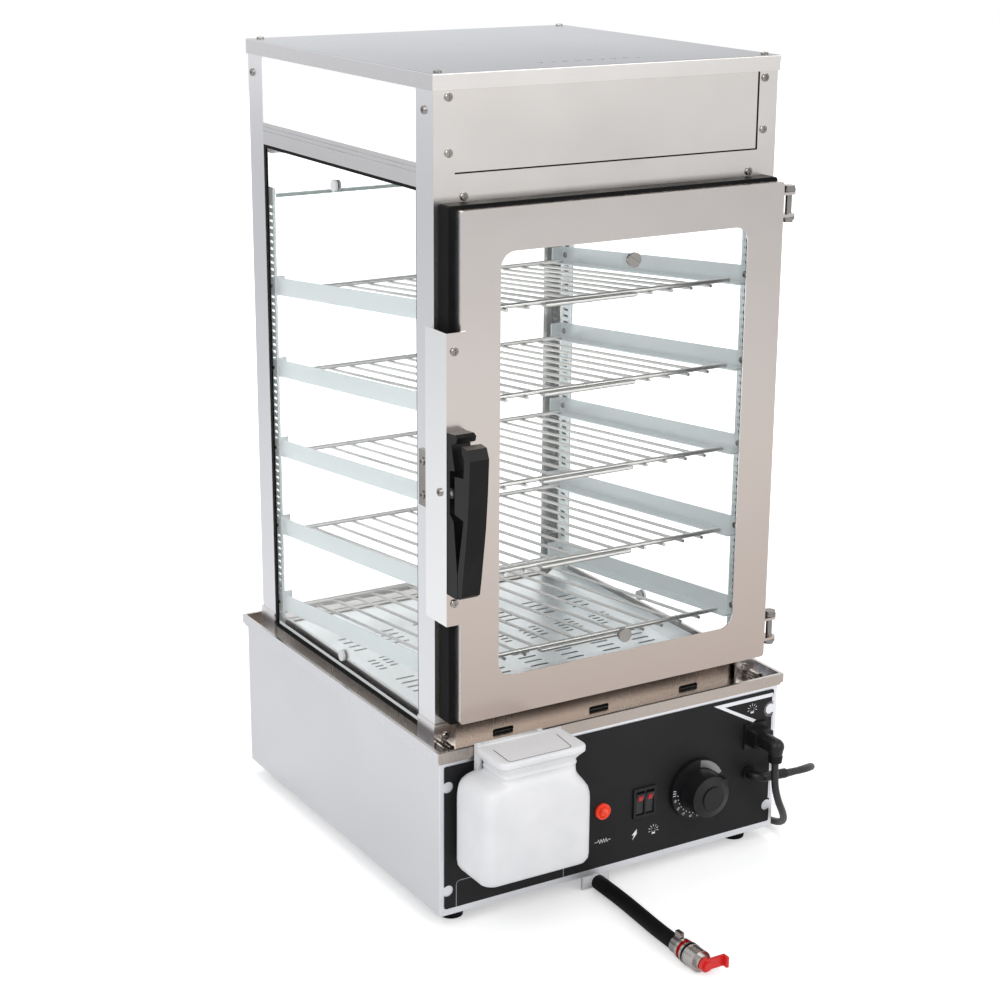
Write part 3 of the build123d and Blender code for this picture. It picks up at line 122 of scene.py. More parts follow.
def cord_curve(name, points, radius, material):
    """Round cord along a smooth curve that its points pull."""
    data = bpy.data.curves.new(name, "CURVE")
    data.dimensions = "3D"
    data.bevel_depth = radius * MM
    data.bevel_resolution = 6
    data.resolution_u = 10
    data.use_fill_caps = True
    spline = data.splines.new("NURBS")
    spline.points.add(len(points) - 1)
    for point, place in zip(spline.points, points):
        point.co = (place[0] * MM, place[1] * MM, place[2] * MM, 1.0)
    spline.order_u = 3
    spline.use_endpoint_u = True
    data.materials.append(material)
    obj = bpy.data.objects.new(name, data)
    bpy.context.scene.collection.objects.link(obj)
    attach(obj, "cabinet")
    return obj


# Floor, backdrop and lights

FLOOR_REACH = 6.0
SOFT_LIGHT = 0.62
GLOW_FROM = (0.3, 0.36)
GLOW_TO = (1.6, 1.0)


def new_tree(name):
    material = bpy.data.materials.new(name)
    material.use_nodes = True
    tree = material.node_tree
    return material, tree, tree.nodes["Principled BSDF"]


def seen(tree, *kinds):
    """One for rays of the given kinds, zero for the light that falls on things."""
    path = tree.nodes.new("ShaderNodeLightPath")
    total = path.outputs[kinds[0]]
    for kind in kinds[1:]:
        either = tree.nodes.new("ShaderNodeMath")
        either.operation = "MAXIMUM"
        tree.links.new(total, either.inputs[0])
        tree.links.new(path.outputs[kind], either.inputs[1])
        total = either.outputs[0]
    return total


def make_world():
    """Soft light on things, and plain white wherever the backdrop itself is seen."""
    world = bpy.data.worlds.new("studio")
    bpy.context.scene.world = world
    world.use_nodes = True
    tree = world.node_tree
    tree.nodes.clear()
    output = tree.nodes.new("ShaderNodeOutputWorld")
    mix = tree.nodes.new("ShaderNodeMixShader")
    soft = tree.nodes.new("ShaderNodeBackground")
    soft.inputs["Color"].default_value = (0.97, 0.985, 1.0, 1.0)
    soft.inputs["Strength"].default_value = SOFT_LIGHT
    white = tree.nodes.new("ShaderNodeBackground")
    white.inputs["Color"].default_value = (1.0, 1.0, 1.0, 1.0)
    white.inputs["Strength"].default_value = 1.0
    rays = seen(tree, "Is Camera Ray", "Is Transmission Ray", "Is Glossy Ray")
    tree.links.new(rays, mix.inputs["Fac"])
    tree.links.new(soft.outputs[0], mix.inputs[1])
    tree.links.new(white.outputs[0], mix.inputs[2])
    tree.links.new(mix.outputs[0], output.inputs["Surface"])


def make_floor():
    """Pale floor that keeps the shadow and turns white further out."""
    mesh = bpy.data.meshes.new("floor")
    corners = ((-1, -1), (1, -1), (1, 1), (-1, 1))
    mesh.from_pydata([(x * FLOOR_REACH, y * FLOOR_REACH, 0) for x, y in corners],
                     [], [(0, 1, 2, 3)])
    floor = bpy.data.objects.new("floor", mesh)
    bpy.context.scene.collection.objects.link(floor)
    material, tree, shader = new_tree("floor")
    shader.inputs["Base Color"].default_value = (0.92, 0.92, 0.92, 1.0)
    shader.inputs["Roughness"].default_value = 0.9
    shader.inputs["Specular IOR Level"].default_value = 0.1
    place = tree.nodes.new("ShaderNodeNewGeometry")
    distance = tree.nodes.new("ShaderNodeVectorMath")
    distance.operation = "LENGTH"
    tree.links.new(place.outputs["Position"], distance.inputs[0])
    glow = tree.nodes.new("ShaderNodeMapRange")
    glow.inputs["From Min"].default_value, glow.inputs["To Min"].default_value = GLOW_FROM
    glow.inputs["From Max"].default_value, glow.inputs["To Max"].default_value = GLOW_TO
    tree.links.new(distance.outputs["Value"], glow.inputs["Value"])
    strength = tree.nodes.new("ShaderNodeMath")
    strength.operation = "MULTIPLY"
    tree.links.new(seen(tree, "Is Camera Ray", "Is Transmission Ray"), strength.inputs[0])
    tree.links.new(glow.outputs["Result"], strength.inputs[1])
    shader.inputs["Emission Color"].default_value = (1.0, 1.0, 1.0, 1.0)
    tree.links.new(strength.outputs[0], shader.inputs["Emission Strength"])
    mesh.materials.append(material)


def area_light(name, place, aim, size, watts, colour=(1.0, 1.0, 1.0)):
    data = bpy.data.lights.new(name, "AREA")
    data.shape = "RECTANGLE"
    data.size = size[0]
    data.size_y = size[1]
    data.energy = watts
    data.color = colour
    light = bpy.data.objects.new(name, data)
    light.location = place
    light.rotation_mode = "QUATERNION"
    light.rotation_quaternion = (Vector(aim) - Vector(place)).to_track_quat("-Z", "Y")
    bpy.context.scene.collection.objects.link(light)


def make_lights():
    area_light("key", (-1.9, -1.5, 2.1), (0, 0, 0.4), (1.4, 1.4), 26)
    area_light("front", (0.9, -2.3, 1.5), (0, 0, 0.35), (1.6, 1.2), 16, (1.0, 0.97, 0.94))
    area_light("top", (0.1, 0.6, 2.6), (0, 0, 0.5), (1.6, 1.6), 18)


# Materials

EVEN = (1, 1, 1)
UPRIGHT = (1, 1, 0.05)
DEEP = (1, 0.05, 1)
ACROSS = (0.02, 1, 1)
GRAIN_SCALE = 1500
GRAIN_GLOSS = 0.012
GRAIN_DEPTH = 0.00005
SMEAR_GLOSS = 0.012
MOULD_DEPTH = 0.0002


def noise(tree, scale, detail, stretch=EVEN):
    """Noise in object space, stretched along an axis for brushed or drawn surfaces."""
    place = tree.nodes.new("ShaderNodeTexCoord")
    mapping = tree.nodes.new("ShaderNodeMapping")
    mapping.inputs["Scale"].default_value = stretch
    texture = tree.nodes.new("ShaderNodeTexNoise")
    texture.inputs["Scale"].default_value = scale
    texture.inputs["Detail"].default_value = detail
    tree.links.new(place.outputs["Object"], mapping.inputs["Vector"])
    tree.links.new(mapping.outputs["Vector"], texture.inputs["Vector"])
    return texture.outputs["Fac"]


def spread(tree, value, low, high, start=0.3, end=0.7):
    """Value mapped from one range to another and held at its ends."""
    node = tree.nodes.new("ShaderNodeMapRange")
    node.inputs["From Min"].default_value = start
    node.inputs["From Max"].default_value = end
    node.inputs["To Min"].default_value = low
    node.inputs["To Max"].default_value = high
    tree.links.new(value, node.inputs["Value"])
    return node.outputs["Result"]


def tones(tree, value, dark, light):
    """Colour that runs from dark to light with a noise."""
    ramp = tree.nodes.new("ShaderNodeValToRGB")
    for mark, position, colour in zip(ramp.color_ramp.elements, (0.35, 0.65), (dark, light)):
        mark.position = position
        mark.color = (*colour, 1.0)
    tree.links.new(value, ramp.inputs["Fac"])
    return ramp.outputs["Color"]


def bump(tree, shader, value, strength, distance):
    """Fine relief from a noise."""
    node = tree.nodes.new("ShaderNodeBump")
    node.inputs["Strength"].default_value = strength
    node.inputs["Distance"].default_value = distance
    tree.links.new(value, node.inputs["Height"])
    tree.links.new(node.outputs["Normal"], shader.inputs["Normal"])


def facing(tree, axis):
    """One on faces that look along an axis of the object, zero on the others."""
    place = tree.nodes.new("ShaderNodeTexCoord")
    split = tree.nodes.new("ShaderNodeSeparateXYZ")
    size = tree.nodes.new("ShaderNodeMath")
    size.operation = "ABSOLUTE"
    tree.links.new(place.outputs["Normal"], split.inputs[0])
    tree.links.new(split.outputs[axis], size.inputs[0])
    return spread(tree, size.outputs[0], 0.0, 1.0, 0.6, 0.8)


def along(tree, axis, start, end):
    """Runs from zero to one between two places on an axis of the object."""
    place = tree.nodes.new("ShaderNodeTexCoord")
    split = tree.nodes.new("ShaderNodeSeparateXYZ")
    tree.links.new(place.outputs["Object"], split.inputs[0])
    return spread(tree, split.outputs[axis], 0.0, 1.0, start, end)


def mixed_colour(tree, factor, one, two):
    """Blend of two colours, each a socket or plain values."""
    node = tree.nodes.new("ShaderNodeMix")
    node.data_type = "RGBA"
    tree.links.new(factor, node.inputs["Factor"])
    for key, value in (("A", one), ("B", two)):
        if isinstance(value, tuple):
            node.inputs[key].default_value = (*value, 1.0)
        else:
            tree.links.new(value, node.inputs[key])
    return node.outputs["Result"]


def steel(name, dark, light, low, high, stretch, grain, side_shading=None, top_shading=None, painted_reflection=None):
    """Sheet steel: fine grain along one axis, slight smudges in tone and gloss, and painted light
    and shade as another tone on side or top faces. A painted reflection darkens along an axis,
    given as the axis, where it starts and ends, and its first tone; a painted tone of the
    sides or tops can also run between two places in that way."""
    material, tree, shader = new_tree(name)
    shader.inputs["Metallic"].default_value = 1.0
    lines = noise(tree, GRAIN_SCALE, 2.0, stretch)
    clouds = noise(tree, 6, 3.0)
    colour = tones(tree, clouds, dark, light)
    # Painted reflection: darker towards one end of an axis.
    if painted_reflection:
        colour = mixed_colour(tree, along(tree, *painted_reflection[:3]), painted_reflection[3], colour)
    # Painted light and shade: another tone on faces that look along x or along z.
    for axis, tone in (("X", side_shading), ("Z", top_shading)):
        if tone and len(tone) == 5:
            tone = mixed_colour(tree, along(tree, *tone[:3]), tone[3], tone[4])
        if tone:
            colour = mixed_colour(tree, facing(tree, axis), colour, tone)
    tree.links.new(colour, shader.inputs["Base Color"])
    gloss = tree.nodes.new("ShaderNodeMath")
    gloss.operation = "ADD"
    tree.links.new(spread(tree, lines, -GRAIN_GLOSS, GRAIN_GLOSS), gloss.inputs[0])
    tree.links.new(spread(tree, clouds, low, high), gloss.inputs[1])
    tree.links.new(gloss.outputs[0], shader.inputs["Roughness"])
    bump(tree, shader, lines, grain, GRAIN_DEPTH)
    return material


def plastic(name, dark, light, low, high, scale=900, grain=0.25):
    """Moulded plastic or rubber: fine texture, and gloss that varies a little."""
    material, tree, shader = new_tree(name)
    fine = noise(tree, scale, 2.0)
    clouds = noise(tree, 18, 3.0)
    tree.links.new(tones(tree, clouds, dark, light), shader.inputs["Base Color"])
    tree.links.new(spread(tree, clouds, low, high), shader.inputs["Roughness"])
    bump(tree, shader, fine, grain, MOULD_DEPTH)
    return material


def glass(name, tint, density, roughness=0.0):
    """Clear pane with a green cast that shows at its edges, and faint smears."""
    material, tree, shader = new_tree(name)
    shader.inputs["Base Color"].default_value = (1.0, 1.0, 1.0, 1.0)
    shader.inputs["Transmission Weight"].default_value = 1.0
    shader.inputs["IOR"].default_value = 1.45
    smears = noise(tree, 5, 4.0)
    gloss = spread(tree, smears, roughness, roughness + SMEAR_GLOSS, 0.45, 0.75)
    tree.links.new(gloss, shader.inputs["Roughness"])
    absorb = tree.nodes.new("ShaderNodeVolumeAbsorption")
    absorb.inputs["Color"].default_value = (*tint, 1.0)
    absorb.inputs["Density"].default_value = density
    tree.links.new(absorb.outputs[0], tree.nodes["Material Output"].inputs["Volume"])
    return material


def lens(name, colour, glow):
    """Clear red plastic with a soft glow and a faint ribbing."""
    material, tree, shader = new_tree(name)
    ribs = noise(tree, 700, 1.0, (1, 1, 0.2))
    shade = [0.7 * c for c in colour]
    tree.links.new(tones(tree, ribs, shade, colour), shader.inputs["Base Color"])
    shader.inputs["Roughness"].default_value = 0.18
    shader.inputs["Transmission Weight"].default_value = 0.25
    shader.inputs["Emission Color"].default_value = (*colour, 1.0)
    shader.inputs["Emission Strength"].default_value = glow
    bump(tree, shader, ribs, 0.2, 0.0003)
    return material


VALVE_RUN = (-0.320, -0.360)
PLAIN = (1, 1, 1)
RINGS = ((0.0, PLAIN), (0.12, (0.9, 0.03, 0.02)), (0.2, PLAIN),
         (0.3, (0.03, 0.03, 0.03)), (0.37, PLAIN))


def banded(material):
    """Coloured rings round the valve: red behind the clamp, black before the body."""
    tree = material.node_tree
    shader = tree.nodes["Principled BSDF"]
    ramp = tree.nodes.new("ShaderNodeValToRGB")
    ramp.color_ramp.interpolation = "CONSTANT"
    marks = ramp.color_ramp.elements
    while len(marks) < len(RINGS):
        marks.new(0.5)
    for mark, (at, colour) in zip(marks, RINGS):
        mark.position = at
        mark.color = (*colour, 1.0)
    tree.links.new(along(tree, "Y", *VALVE_RUN), ramp.inputs["Fac"])
    tint = tree.nodes.new("ShaderNodeMix")
    tint.data_type = "RGBA"
    tint.blend_type = "MULTIPLY"
    tint.inputs["Factor"].default_value = 1.0
    base = shader.inputs["Base Color"].links[0].from_socket
    tree.links.new(base, tint.inputs["A"])
    tree.links.new(ramp.outputs["Color"], tint.inputs["B"])
    tree.links.new(tint.outputs["Result"], shader.inputs["Base Color"])


# Values of each material, in the order that steel() and plastic() take them
STEELS = {
    # sheet: faces that look along x get a lighter bluish tone, a painted reflection.
    "sheet": ((0.735, 0.70, 0.675), (0.775, 0.742, 0.718), 0.22, 0.27, UPRIGHT, 0.05,
              (0.80, 0.80, 0.83)),
    # lip: darker and warmer than the sheet, a painted reflection; the lighter tones of its sides
    # and tops are painted light.
    "lip": ((0.44, 0.385, 0.345), (0.50, 0.44, 0.40), 0.24, 0.3, UPRIGHT, 0.05,
            (0.71, 0.71, 0.735), (0.62, 0.59, 0.57)),
    # low_rail: much darker and warmer than the sheet, a painted reflection; its sides get painted
    # light that grows lighter upwards, and its tops a lighter painted tone.
    "low_rail": ((0.26, 0.215, 0.185), (0.34, 0.29, 0.255), 0.24, 0.3, UPRIGHT, 0.05,
                 ("Z", 0.25, 0.6, (0.50, 0.465, 0.435), (0.70, 0.69, 0.705)), (0.5, 0.47, 0.45)),
    "side": ((0.70, 0.70, 0.72), (0.735, 0.735, 0.76), 0.3, 0.36, DEEP, 0.04),
    # mirror: the door's side returns get a near-white painted highlight, and the door grows darker
    # and warmer towards the bottom, a painted reflection.
    "mirror": ((0.68, 0.635, 0.61), (0.71, 0.665, 0.64), 0.2, 0.24, UPRIGHT, 0.04,
               (0.93, 0.93, 0.94), None, ("Z", 0.2, 0.62, (0.50, 0.42, 0.375))),
    # roof: its sides get a darker painted shade, and its tops painted shade that is darkest at the
    # front and lighter towards the back.
    "roof": ((0.735, 0.71, 0.69), (0.77, 0.745, 0.725), 0.26, 0.31, DEEP, 0.03,
             (0.66, 0.65, 0.67), ("Y", -0.14, 0.21, (0.26, 0.275, 0.30), (0.46, 0.48, 0.51))),
    "floor_tray": ((0.84, 0.87, 0.89), (0.89, 0.91, 0.93), 0.3, 0.38, DEEP, 0.03),
    "rails": ((0.30, 0.33, 0.34), (0.36, 0.39, 0.40), 0.32, 0.4, DEEP, 0.05),
    "wire": ((0.47, 0.46, 0.445), (0.56, 0.55, 0.535), 0.26, 0.34, DEEP, 0.05),
    "screw": ((0.24, 0.225, 0.215), (0.42, 0.40, 0.38), 0.16, 0.3, EVEN, 0.2),
    "margin": ((0.82, 0.83, 0.87), (0.88, 0.885, 0.92), 0.4, 0.5, ACROSS, 0.03),
    "dull": ((0.20, 0.20, 0.20), (0.30, 0.30, 0.30), 0.3, 0.4, EVEN, 0.05),
    "valve": ((0.42, 0.40, 0.39), (0.62, 0.60, 0.58), 0.16, 0.3, EVEN, 0.2),
}
PLASTICS = {
    "black": ((0.008, 0.008, 0.009), (0.013, 0.013, 0.014), 0.28, 0.4),
    "label": ((0.010, 0.010, 0.011), (0.014, 0.014, 0.015), 0.42, 0.5, 1400, 0.3),
    "print": ((0.80, 0.82, 0.86), (0.86, 0.87, 0.90), 0.4, 0.5, 1400, 0.2),
    "faint": ((0.30, 0.31, 0.33), (0.42, 0.43, 0.45), 0.4, 0.5, 1400, 0.2),
    "rubber": ((0.005, 0.005, 0.005), (0.009, 0.009, 0.009), 0.45, 0.58, 600, 0.3),
    "rocker": ((0.016, 0.016, 0.017), (0.024, 0.024, 0.025), 0.3, 0.4),
    "edge": ((0.85, 0.88, 0.88), (0.92, 0.94, 0.94), 0.2, 0.3),
    "green": ((0.16, 0.28, 0.255), (0.22, 0.36, 0.33), 0.2, 0.3),
    "cord": ((0.008, 0.008, 0.008), (0.014, 0.014, 0.014), 0.38, 0.5, 500, 0.2),
    "white": ((0.72, 0.725, 0.745), (0.80, 0.80, 0.815), 0.32, 0.42, 500, 0.06),
    "diffuser": ((0.93, 0.93, 0.93), (0.97, 0.97, 0.97), 0.4, 0.5, 300, 0.05),
    "latch": ((0.005, 0.005, 0.005), (0.010, 0.010, 0.010), 0.3, 0.4, 700, 0.2),
    "red": ((0.55, 0.01, 0.01), (0.72, 0.02, 0.02), 0.25, 0.4, 400, 0.15),
}
SOCKETS = {
    "black": {"Specular IOR Level": 0.28},
    "label": {"Specular IOR Level": 0.2},
    "rubber": {"Specular IOR Level": 0.06},
    "rocker": {"Specular IOR Level": 0.45},
    "latch": {"Specular IOR Level": 0.15},
    "white": {"Subsurface Weight": 0.2, "Subsurface Scale": 0.004,
              "Subsurface Radius": (1, 1, 1)},
    "diffuser": {"Emission Color": (1, 1, 1, 1), "Emission Strength": 0.35},
    # Painted light: the rack supports glow faintly pale blue, though they are no lamp.
    "rails": {"Emission Color": (0.88, 0.95, 0.96, 1.0), "Emission Strength": 0.2},
}


def make_materials():
    made = {name: steel(name, *values) for name, values in STEELS.items()}
    made.update({name: plastic(name, *values) for name, values in PLASTICS.items()})
    made["glass"] = glass("glass", (0.74, 0.91, 0.88), 16.0)
    made["clip"] = glass("clip", (0.9, 0.95, 0.95), 6, 0.06)
    made["pilot"] = lens("pilot", (0.9, 0.06, 0.02), 0.25)
    made["lens"] = lens("lens", (0.6, 0.01, 0.02), 0.1)
    for name, values in SOCKETS.items():
        shader = made[name].node_tree.nodes["Principled BSDF"]
        for key, value in values.items():
            shader.inputs[key].default_value = value
    banded(made["valve"])
    return made


NODE_MATERIALS = {
    "lip": "base_top",
    "low_rail": "cabinet_rails",
    "sheet": "corner_posts lamp_box_panels sign_panel",
    "margin": "front_panel",
    "floor_tray": "steam_floor",
    "side": "base_shell water_pan",
    "roof": "roof_panel",
    "mirror": "door_frame door_brackets",
    "rails": "rack_supports",
    "wire": "rack_1 rack_2 rack_3 rack_4 rack_5 heating_element",
    "screw": "body_screws door_buttons door_fasteners post_hardware hose_clamps",
    "dull": "knob_metal",
    "valve": "drain_valve",
    "glass": "cabinet_glass door_glass",
    "clip": "clear_clips",
    "rocker": "rocker_power rocker_lamp",
    "black": "switch_bezel lamp_socket lead_glands mains_plug thermostat thermostat_knob "
             "lamp_plug",
    "label": "control_label",
    "rubber": "feet pane_gaskets door_gaskets",
    "white": "tank_bottle tank_neck tank_lid water_pipes drain_bracket pane_buttons",
    "diffuser": "side_diffusers lamp",
    "latch": "latch_base latch_lever",
    "pilot": "pilot_lamp",
    "lens": "lens_power lens_lamp",
    "red": "valve_lever",
}


def dress(made):
    """Gives every CAD node that stays its material."""
    for key, names in NODE_MATERIALS.items():
        for name in names.split():
            mesh = nodes[name].data
            if not mesh.materials:
                mesh.materials.append(made[key])
            for i in range(len(mesh.materials)):
                mesh.materials[i] = made[key]


# Printed marks

LABEL_FRONT = -173.1
DIAL = (92.0, 77.5)
DIAL_FRONT = -177.9
DOT_RING = 23.6
TICK_RING = (26.0, 28.8)
FIGURE_RING = 27.0
FIGURE_SIZE = 3.3


def ribbon(points, width):
    """Line of a given width through points of a plane, as quads."""
    quads = []
    for (a0, b0), (a1, b1) in zip(points, points[1:]):
        run = hypot(a1 - a0, b1 - b0)
        ea = (a1 - a0) / run * width / 2
        eb = (b1 - b0) / run * width / 2
        quads.append([(a0 - ea - eb, b0 - eb + ea), (a1 + ea - eb, b1 + eb + ea),
                      (a1 + ea + eb, b1 + eb - ea), (a0 - ea + eb, b0 - eb - ea)])
    return quads


def arc(a, b, radius, start, end, count=16):
    """Points of an arc, angles in degrees."""
    turn = [radians(start + (end - start) * i / count) for i in range(count + 1)]
    return [(a + radius * cos(t), b + radius * sin(t)) for t in turn]


def printed(name, faces, plane, level, material, body="cabinet"):
    """Flat marks on a plane across x, y or z at a level; corners in mm."""
    verts = []
    polys = []
    at = {"x": 0, "y": 1, "z": 2}[plane]
    for face in faces:
        polys.append(list(range(len(verts), len(verts) + len(face))))
        for mark in face:
            verts.append([c * MM for c in (*mark[:at], level, *mark[at:])])
    mesh = bpy.data.meshes.new(name)
    mesh.from_pydata(verts, [], polys)
    mesh.materials.append(material)
    obj = bpy.data.objects.new(name, mesh)
    bpy.context.scene.collection.objects.link(obj)
    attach(obj, body)


def ray(x, z, near, far, angle):
    """Ends of a short line that points away from a centre."""
    return [(x + reach * cos(angle), z + reach * sin(angle)) for reach in (near, far)]


def bulb(x, z):
    """Light bulb with rays."""
    faces = ribbon(arc(x, z, 2.1, -50, 230), 0.7)
    faces += ribbon([(x - 1.1, z - 3.2), (x + 1.1, z - 3.2)], 1.6)
    for i in range(7):
        faces += ribbon(ray(x, z, 3.8, 5.6, radians(-12 + 34 * i)), 0.45)
    return faces


def panel_marks(made):
    """Lines, lamp marks and coil mark of the label."""
    faces = [[(110.5, 156.4), (123.5, 152.6), (181.0, 152.6), (181.0, 156.4)],
             [(110.5, 156.4), (158.0, 130.4), (161.5, 132.4), (123.5, 152.6)]]
    faces += ribbon(arc(178.5, 140.0, 6.8, 63, 297), 1.5)
    faces += ribbon([(181.0, 154.0), (181.0, 147.0)], 1.6)
    faces += ribbon([(181.0, 133.0), (181.0, 46.5)], 1.4)
    faces += bulb(156.5, 144.2)
    faces += bulb(44.6, 45.0)
    faces += [[(25.6, 50.4), (19.6, 44.8), (22.6, 44.9), (25.2, 46.6)],
              [(22.6, 44.9), (20.6, 39.8), (26.2, 46.5), (25.2, 46.6)]]
    printed("panel_marks", faces, "y", LABEL_FRONT, made["print"])
    zig = [(-21.7, 47.6), (-18.6, 47.6)]
    for i in range(4):
        zig += [(-17.6 + 2.8 * i, 49.7), (-16.2 + 2.8 * i, 45.6)]
    zig += [(-6.9, 47.6), (-4.4, 47.6)]
    printed("panel_coil", ribbon(zig, 0.5), "y", LABEL_FRONT, made["print"])
    frame_line = [(-170, 21.8), (-170, 43.7), (-169, 46.1), (-166.6, 47.1), (-59.4, 47.1),
                  (-57, 46.1), (-56, 43.7), (-56, 21.8)]
    printed("panel_lines", ribbon(frame_line, 0.6), "y", LABEL_FRONT, made["faint"])


def dial_marks(made):
    """Ticks, dots and plain figures round the dial."""
    x, z = DIAL
    faces = []
    for i in range(9):
        angle = radians(184 + 10.4 * i)
        dot = (x + DOT_RING * cos(angle), z + DOT_RING * sin(angle))
        faces.append(arc(*dot, 0.62, 0, 320, 8))
    for angle in (172, 177, 182):
        faces += ribbon(ray(x, z, *TICK_RING, radians(angle)), 0.7)
    printed("dial_dots", faces, "y", DIAL_FRONT, made["print"], "knob")
    for i, figure in enumerate(("30", "50", "70", "90", "110")):
        angle = radians(194 + 19.5 * i)
        data = bpy.data.curves.new("dial_" + figure, "FONT")
        data.body = figure
        data.size = FIGURE_SIZE * MM
        data.align_x = "CENTER"
        data.align_y = "CENTER"
        data.materials.append(made["print"])
        text = bpy.data.objects.new("dial_" + figure, data)
        text.location = ((x + FIGURE_RING * cos(angle)) * MM, DIAL_FRONT * MM,
                         (z + FIGURE_RING * sin(angle)) * MM)
        text.rotation_euler = (pi / 2, angle - radians(270), 0)
        bpy.context.scene.collection.objects.link(text)
        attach(text, "knob")


# Joints and cut edges

SIDES = (("left", -1), ("right", 1))
HEADER_HALF = 155.8
HEADER_FRONT = -144.0
HEADER_LOW = 674.3
HEADER_HIGH = 743
SEAM = 1.1
SLOTS = (-102, 2, 104)
SLOT_DEPTH = -138.4
BACK_HALF = 156.8
BACK_RUN = (193.15, 197.25)
BACK_TOP = 611.0
TRIM_SIDE = 175.85
PANE_SIDE = 173.15


def block(a0, a1, b0, b1):
    """Corners of a rectangle."""
    return [(a0, b0), (a1, b0), (a1, b1), (a0, b1)]


def seams(made):
    """Dark joints of the header, shade behind the rail's slots, and cut edges of the glass."""
    joints = [block(-HEADER_HALF, HEADER_HALF, HEADER_LOW, HEADER_LOW + SEAM),
              block(HEADER_HALF - SEAM, HEADER_HALF, HEADER_LOW + SEAM, HEADER_HIGH)]
    printed("header_seams", joints, "y", HEADER_FRONT, made["rubber"])
    edge = [block(-HEADER_HALF, HEADER_HALF, -145.15, -143.95)]
    printed("trim_edge", edge, "z", 674.23, made["rubber"])
    shade = [block(x - 12, x + 12, 165.1, 169.8) for x in SLOTS]
    printed("slot_shade", shade, "y", SLOT_DEPTH, made["rubber"])
    rim = [block(-BACK_HALF, BACK_HALF, 608.0, BACK_TOP)]
    printed("back_pane_edge", rim, "y", BACK_RUN[0], made["green"])
    rim = [block(-BACK_HALF, BACK_HALF, *BACK_RUN)]
    printed("back_pane_top", rim, "z", 611.05, made["green"])
    lines = [block(-115.2, 182.2, z, z + 0.6) for z in (673.6, 677.4)]
    for word, side in SIDES:
        printed("rail_lines_" + word, lines, "x", side * TRIM_SIDE, made["faint"])
    rim = [block(-112.4, 179.5, 179.6, 182.9)]
    for word, side in SIDES:
        printed("pane_edge_" + word, rim, "x", side * PANE_SIDE, made["edge"])


# Tank

CORNER_STEPS = 9


def corner_ring(z, x0, x1, y0, y1, radius):
    """Rounded rectangle at a height, counter-clockwise."""
    points = []
    corners = ((x1 - radius, y1 - radius, 0), (x0 + radius, y1 - radius, 90),
               (x0 + radius, y0 + radius, 180), (x1 - radius, y0 + radius, 270))
    for x, y, start in corners:
        points += [(a, b, z) for a, b in arc(x, y, radius, start, start + 90, CORNER_STEPS)]
    return points


def add_loft(bm, rings):
    """Skin over rings of equal counts, closed at both ends."""
    rows = [[bm.verts.new(Vector(p) * MM) for p in ring] for ring in rings]
    for low, high in zip(rows, rows[1:]):
        for i in range(len(low)):
            j = (i + 1) % len(low)
            bm.faces.new((low[i], low[j], high[j], high[i]))
    bm.faces.new(list(reversed(rows[0])))
    bm.faces.new(rows[-1])


def add_bar(bm, outline, x0, x1):
    """Prism along X over an outline of (y, z) points."""
    add_loft(bm, [[(x, y, z) for y, z in outline] for x in (x0, x1)])


def finish_mesh(bm, name, material, body, slot, *names):
    """Piece that stands for the named CAD nodes, smooth where its faces are quads."""
    bmesh.ops.recalc_face_normals(bm, faces=bm.faces)
    for face in bm.faces:
        face.smooth = len(face.verts) == 4
    mesh = bpy.data.meshes.new(name)
    bm.to_mesh(mesh)
    bm.free()
    mesh.materials.append(material)
    obj = bpy.data.objects.new(name, mesh)
    bpy.context.scene.collection.objects.link(obj)
    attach(obj, body)
    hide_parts(*names)


# Rings of the bottle, up the outside and down the inside: z, x from and to, y from and to, radius
BOTTLE = [(63.0, -165, -73, -224.5, -183, 8), (63.5, -169.2, -68.8, -228.2, -179.3, 10),
          (65.2, -172.6, -65.4, -231, -176.6, 11), (68.5, -174.5, -63.5, -232.4, -175.1, 11),
          (73, -175, -63, -232.75, -174.75, 11), (100, -175, -63, -232.75, -174.75, 11),
          (126, -175, -63, -232.75, -174.75, 11), (132, -175, -63.6, -232.75, -174.75, 11),
          (137, -174.9, -65.2, -232.7, -174.8, 11), (141.5, -174.6, -68, -232.6, -174.9, 12),
          (145.5, -173.9, -71.2, -232.3, -175.2, 12), (149, -172.4, -74, -231.8, -176, 12),
          (152, -169.8, -75.8, -231.1, -177.5, 12), (154.2, -166, -76.6, -230.3, -179.7, 11),
          (155.8, -161, -76.9, -229.5, -182.3, 10), (157, -156, -77, -228.7, -184.6, 9),
          (158.6, -153.4, -77, -228, -185.6, 8), (161.6, -153, -77, -227.8, -185.75, 8),
          (162.2, -153.6, -76.4, -228.4, -185.3, 8), (163.4, -153.6, -76.4, -228.4, -185.3, 8),
          (164, -153, -77, -227.8, -185.75, 8), (166.2, -153.2, -76.7, -228, -185.7, 8),
          (168.4, -154.6, -75.6, -229, -185.6, 8), (170.2, -156, -74.4, -230.2, -185.5, 8),
          (171.7, -157.2, -73, -231.4, -185.4, 8), (172.7, -157.8, -72, -232, -185.4, 8),
          (172.7, -150.5, -79.5, -225.25, -188.25, 5), (157, -150.5, -79.5, -225.25, -188.25, 5),
          (153, -164, -79, -227, -183, 7), (146, -171.2, -75.5, -229.4, -178.6, 9),
          (130, -172.5, -66.2, -230.25, -177.25, 9), (72, -172.5, -65.5, -230.25, -177.25, 9),
          (66, -170, -68, -228, -179.5, 8)]
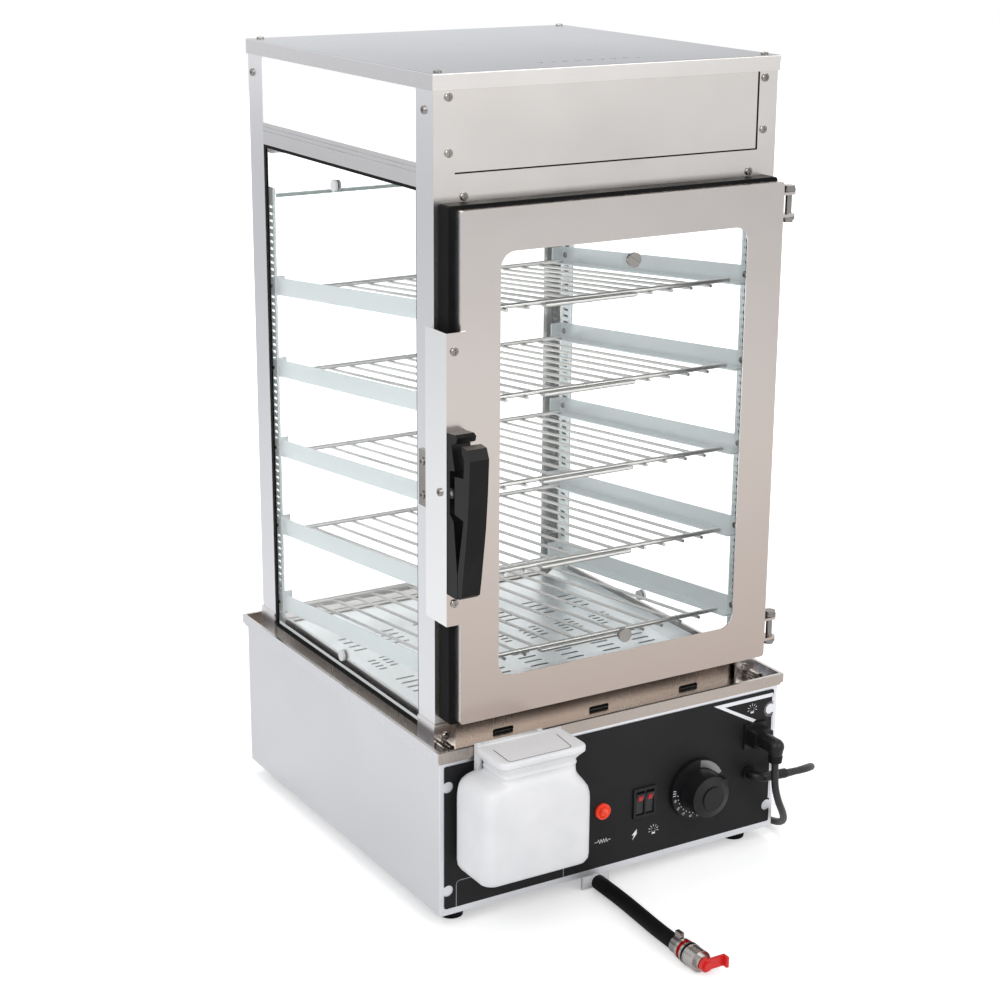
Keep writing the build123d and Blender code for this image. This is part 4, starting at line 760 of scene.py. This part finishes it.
# Rings of the lid: z and how far each lies inside its outline
LID = [(173, 1.2), (173.6, 0.35), (174.6, 0), (178, 0), (179.1, 0.4), (179.75, 1.2), (180, 2.6),
       (180, 5)]
LID_X = (-159, -70)
LID_Y = (-232.75, -185.05)
LID_LINE = [(-148.6, -200.6), (-149.6, -226.4), (-148.9, -228.6), (-146.7, -229.6),
            (-89.5, -229.6), (-86.5, -228.6), (-85.3, -226.2), (-82.5, -199.4)]
HINGE = (-180.85, 176.5)
LUGS = (-154.3, -91.7)
LUG_WIDTH = 5
BARREL_X = (-148.8, -92.2)
PIN_X = (-153.8, -87.2)
LEAF = [(-187, 175.3), (-181, 175.3), (-181, 178.1), (-187, 178.1)]
RIDGE = (-188.2, 179.7)
RIDGE_X = (-157.5, -71.5)


def make_tank(made):
    """Bottle with its hinge lugs, and lid with its hinge barrel, pin, leaf, ridge and line."""
    bm = bmesh.new()
    add_loft(bm, [corner_ring(*ring) for ring in BOTTLE])
    lug = [(-177.25, 152)] + arc(*HINGE, 3.6, 0, 180, 10) + [(-184.45, 152)]
    for x in LUGS:
        add_bar(bm, lug, x, x + LUG_WIDTH)
    finish_mesh(bm, "bottle", made["white"], "cabinet", "white_plastic", "tank_bottle", "tank_neck")
    bm = bmesh.new()
    add_loft(bm, [corner_ring(z, LID_X[0] + i, LID_X[1] - i, LID_Y[0] + i, LID_Y[1] - i,
                              8 - 0.5 * i) for z, i in LID])
    add_bar(bm, arc(*HINGE, 3.2, 0, 345, 23), *BARREL_X)
    add_bar(bm, arc(*HINGE, 1.6, 0, 330, 11), *PIN_X)
    add_bar(bm, LEAF, *BARREL_X)
    add_bar(bm, arc(*RIDGE, 1.7, 0, 330, 11), *RIDGE_X)
    finish_mesh(bm, "lid_shell", made["white"], "lid", "white_plastic", "tank_lid")
    printed("lid_line", ribbon(LID_LINE, 0.8), "z", 180.06, made["black"], "lid")


make_camera()
made = make_materials()
dress(made)
make_tank(made)
panel_marks(made)
dial_marks(made)
seams(made)
hose = cord_curve("drain_tube", DRAIN, HOSE, made["rubber"])
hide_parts("drain_hose")
lamp_cord = cord_curve("lamp_cord", LAMP, LEAD, made["cord"])
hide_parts("lamp_lead")
mains_cord = cord_curve("mains_cord", MAINS + coil_points(), LEAD, made["cord"])
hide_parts("mains_lead", "mains_coil")
make_world()
make_floor()
make_lights()
bpy.context.scene.view_settings.view_transform = "Standard"
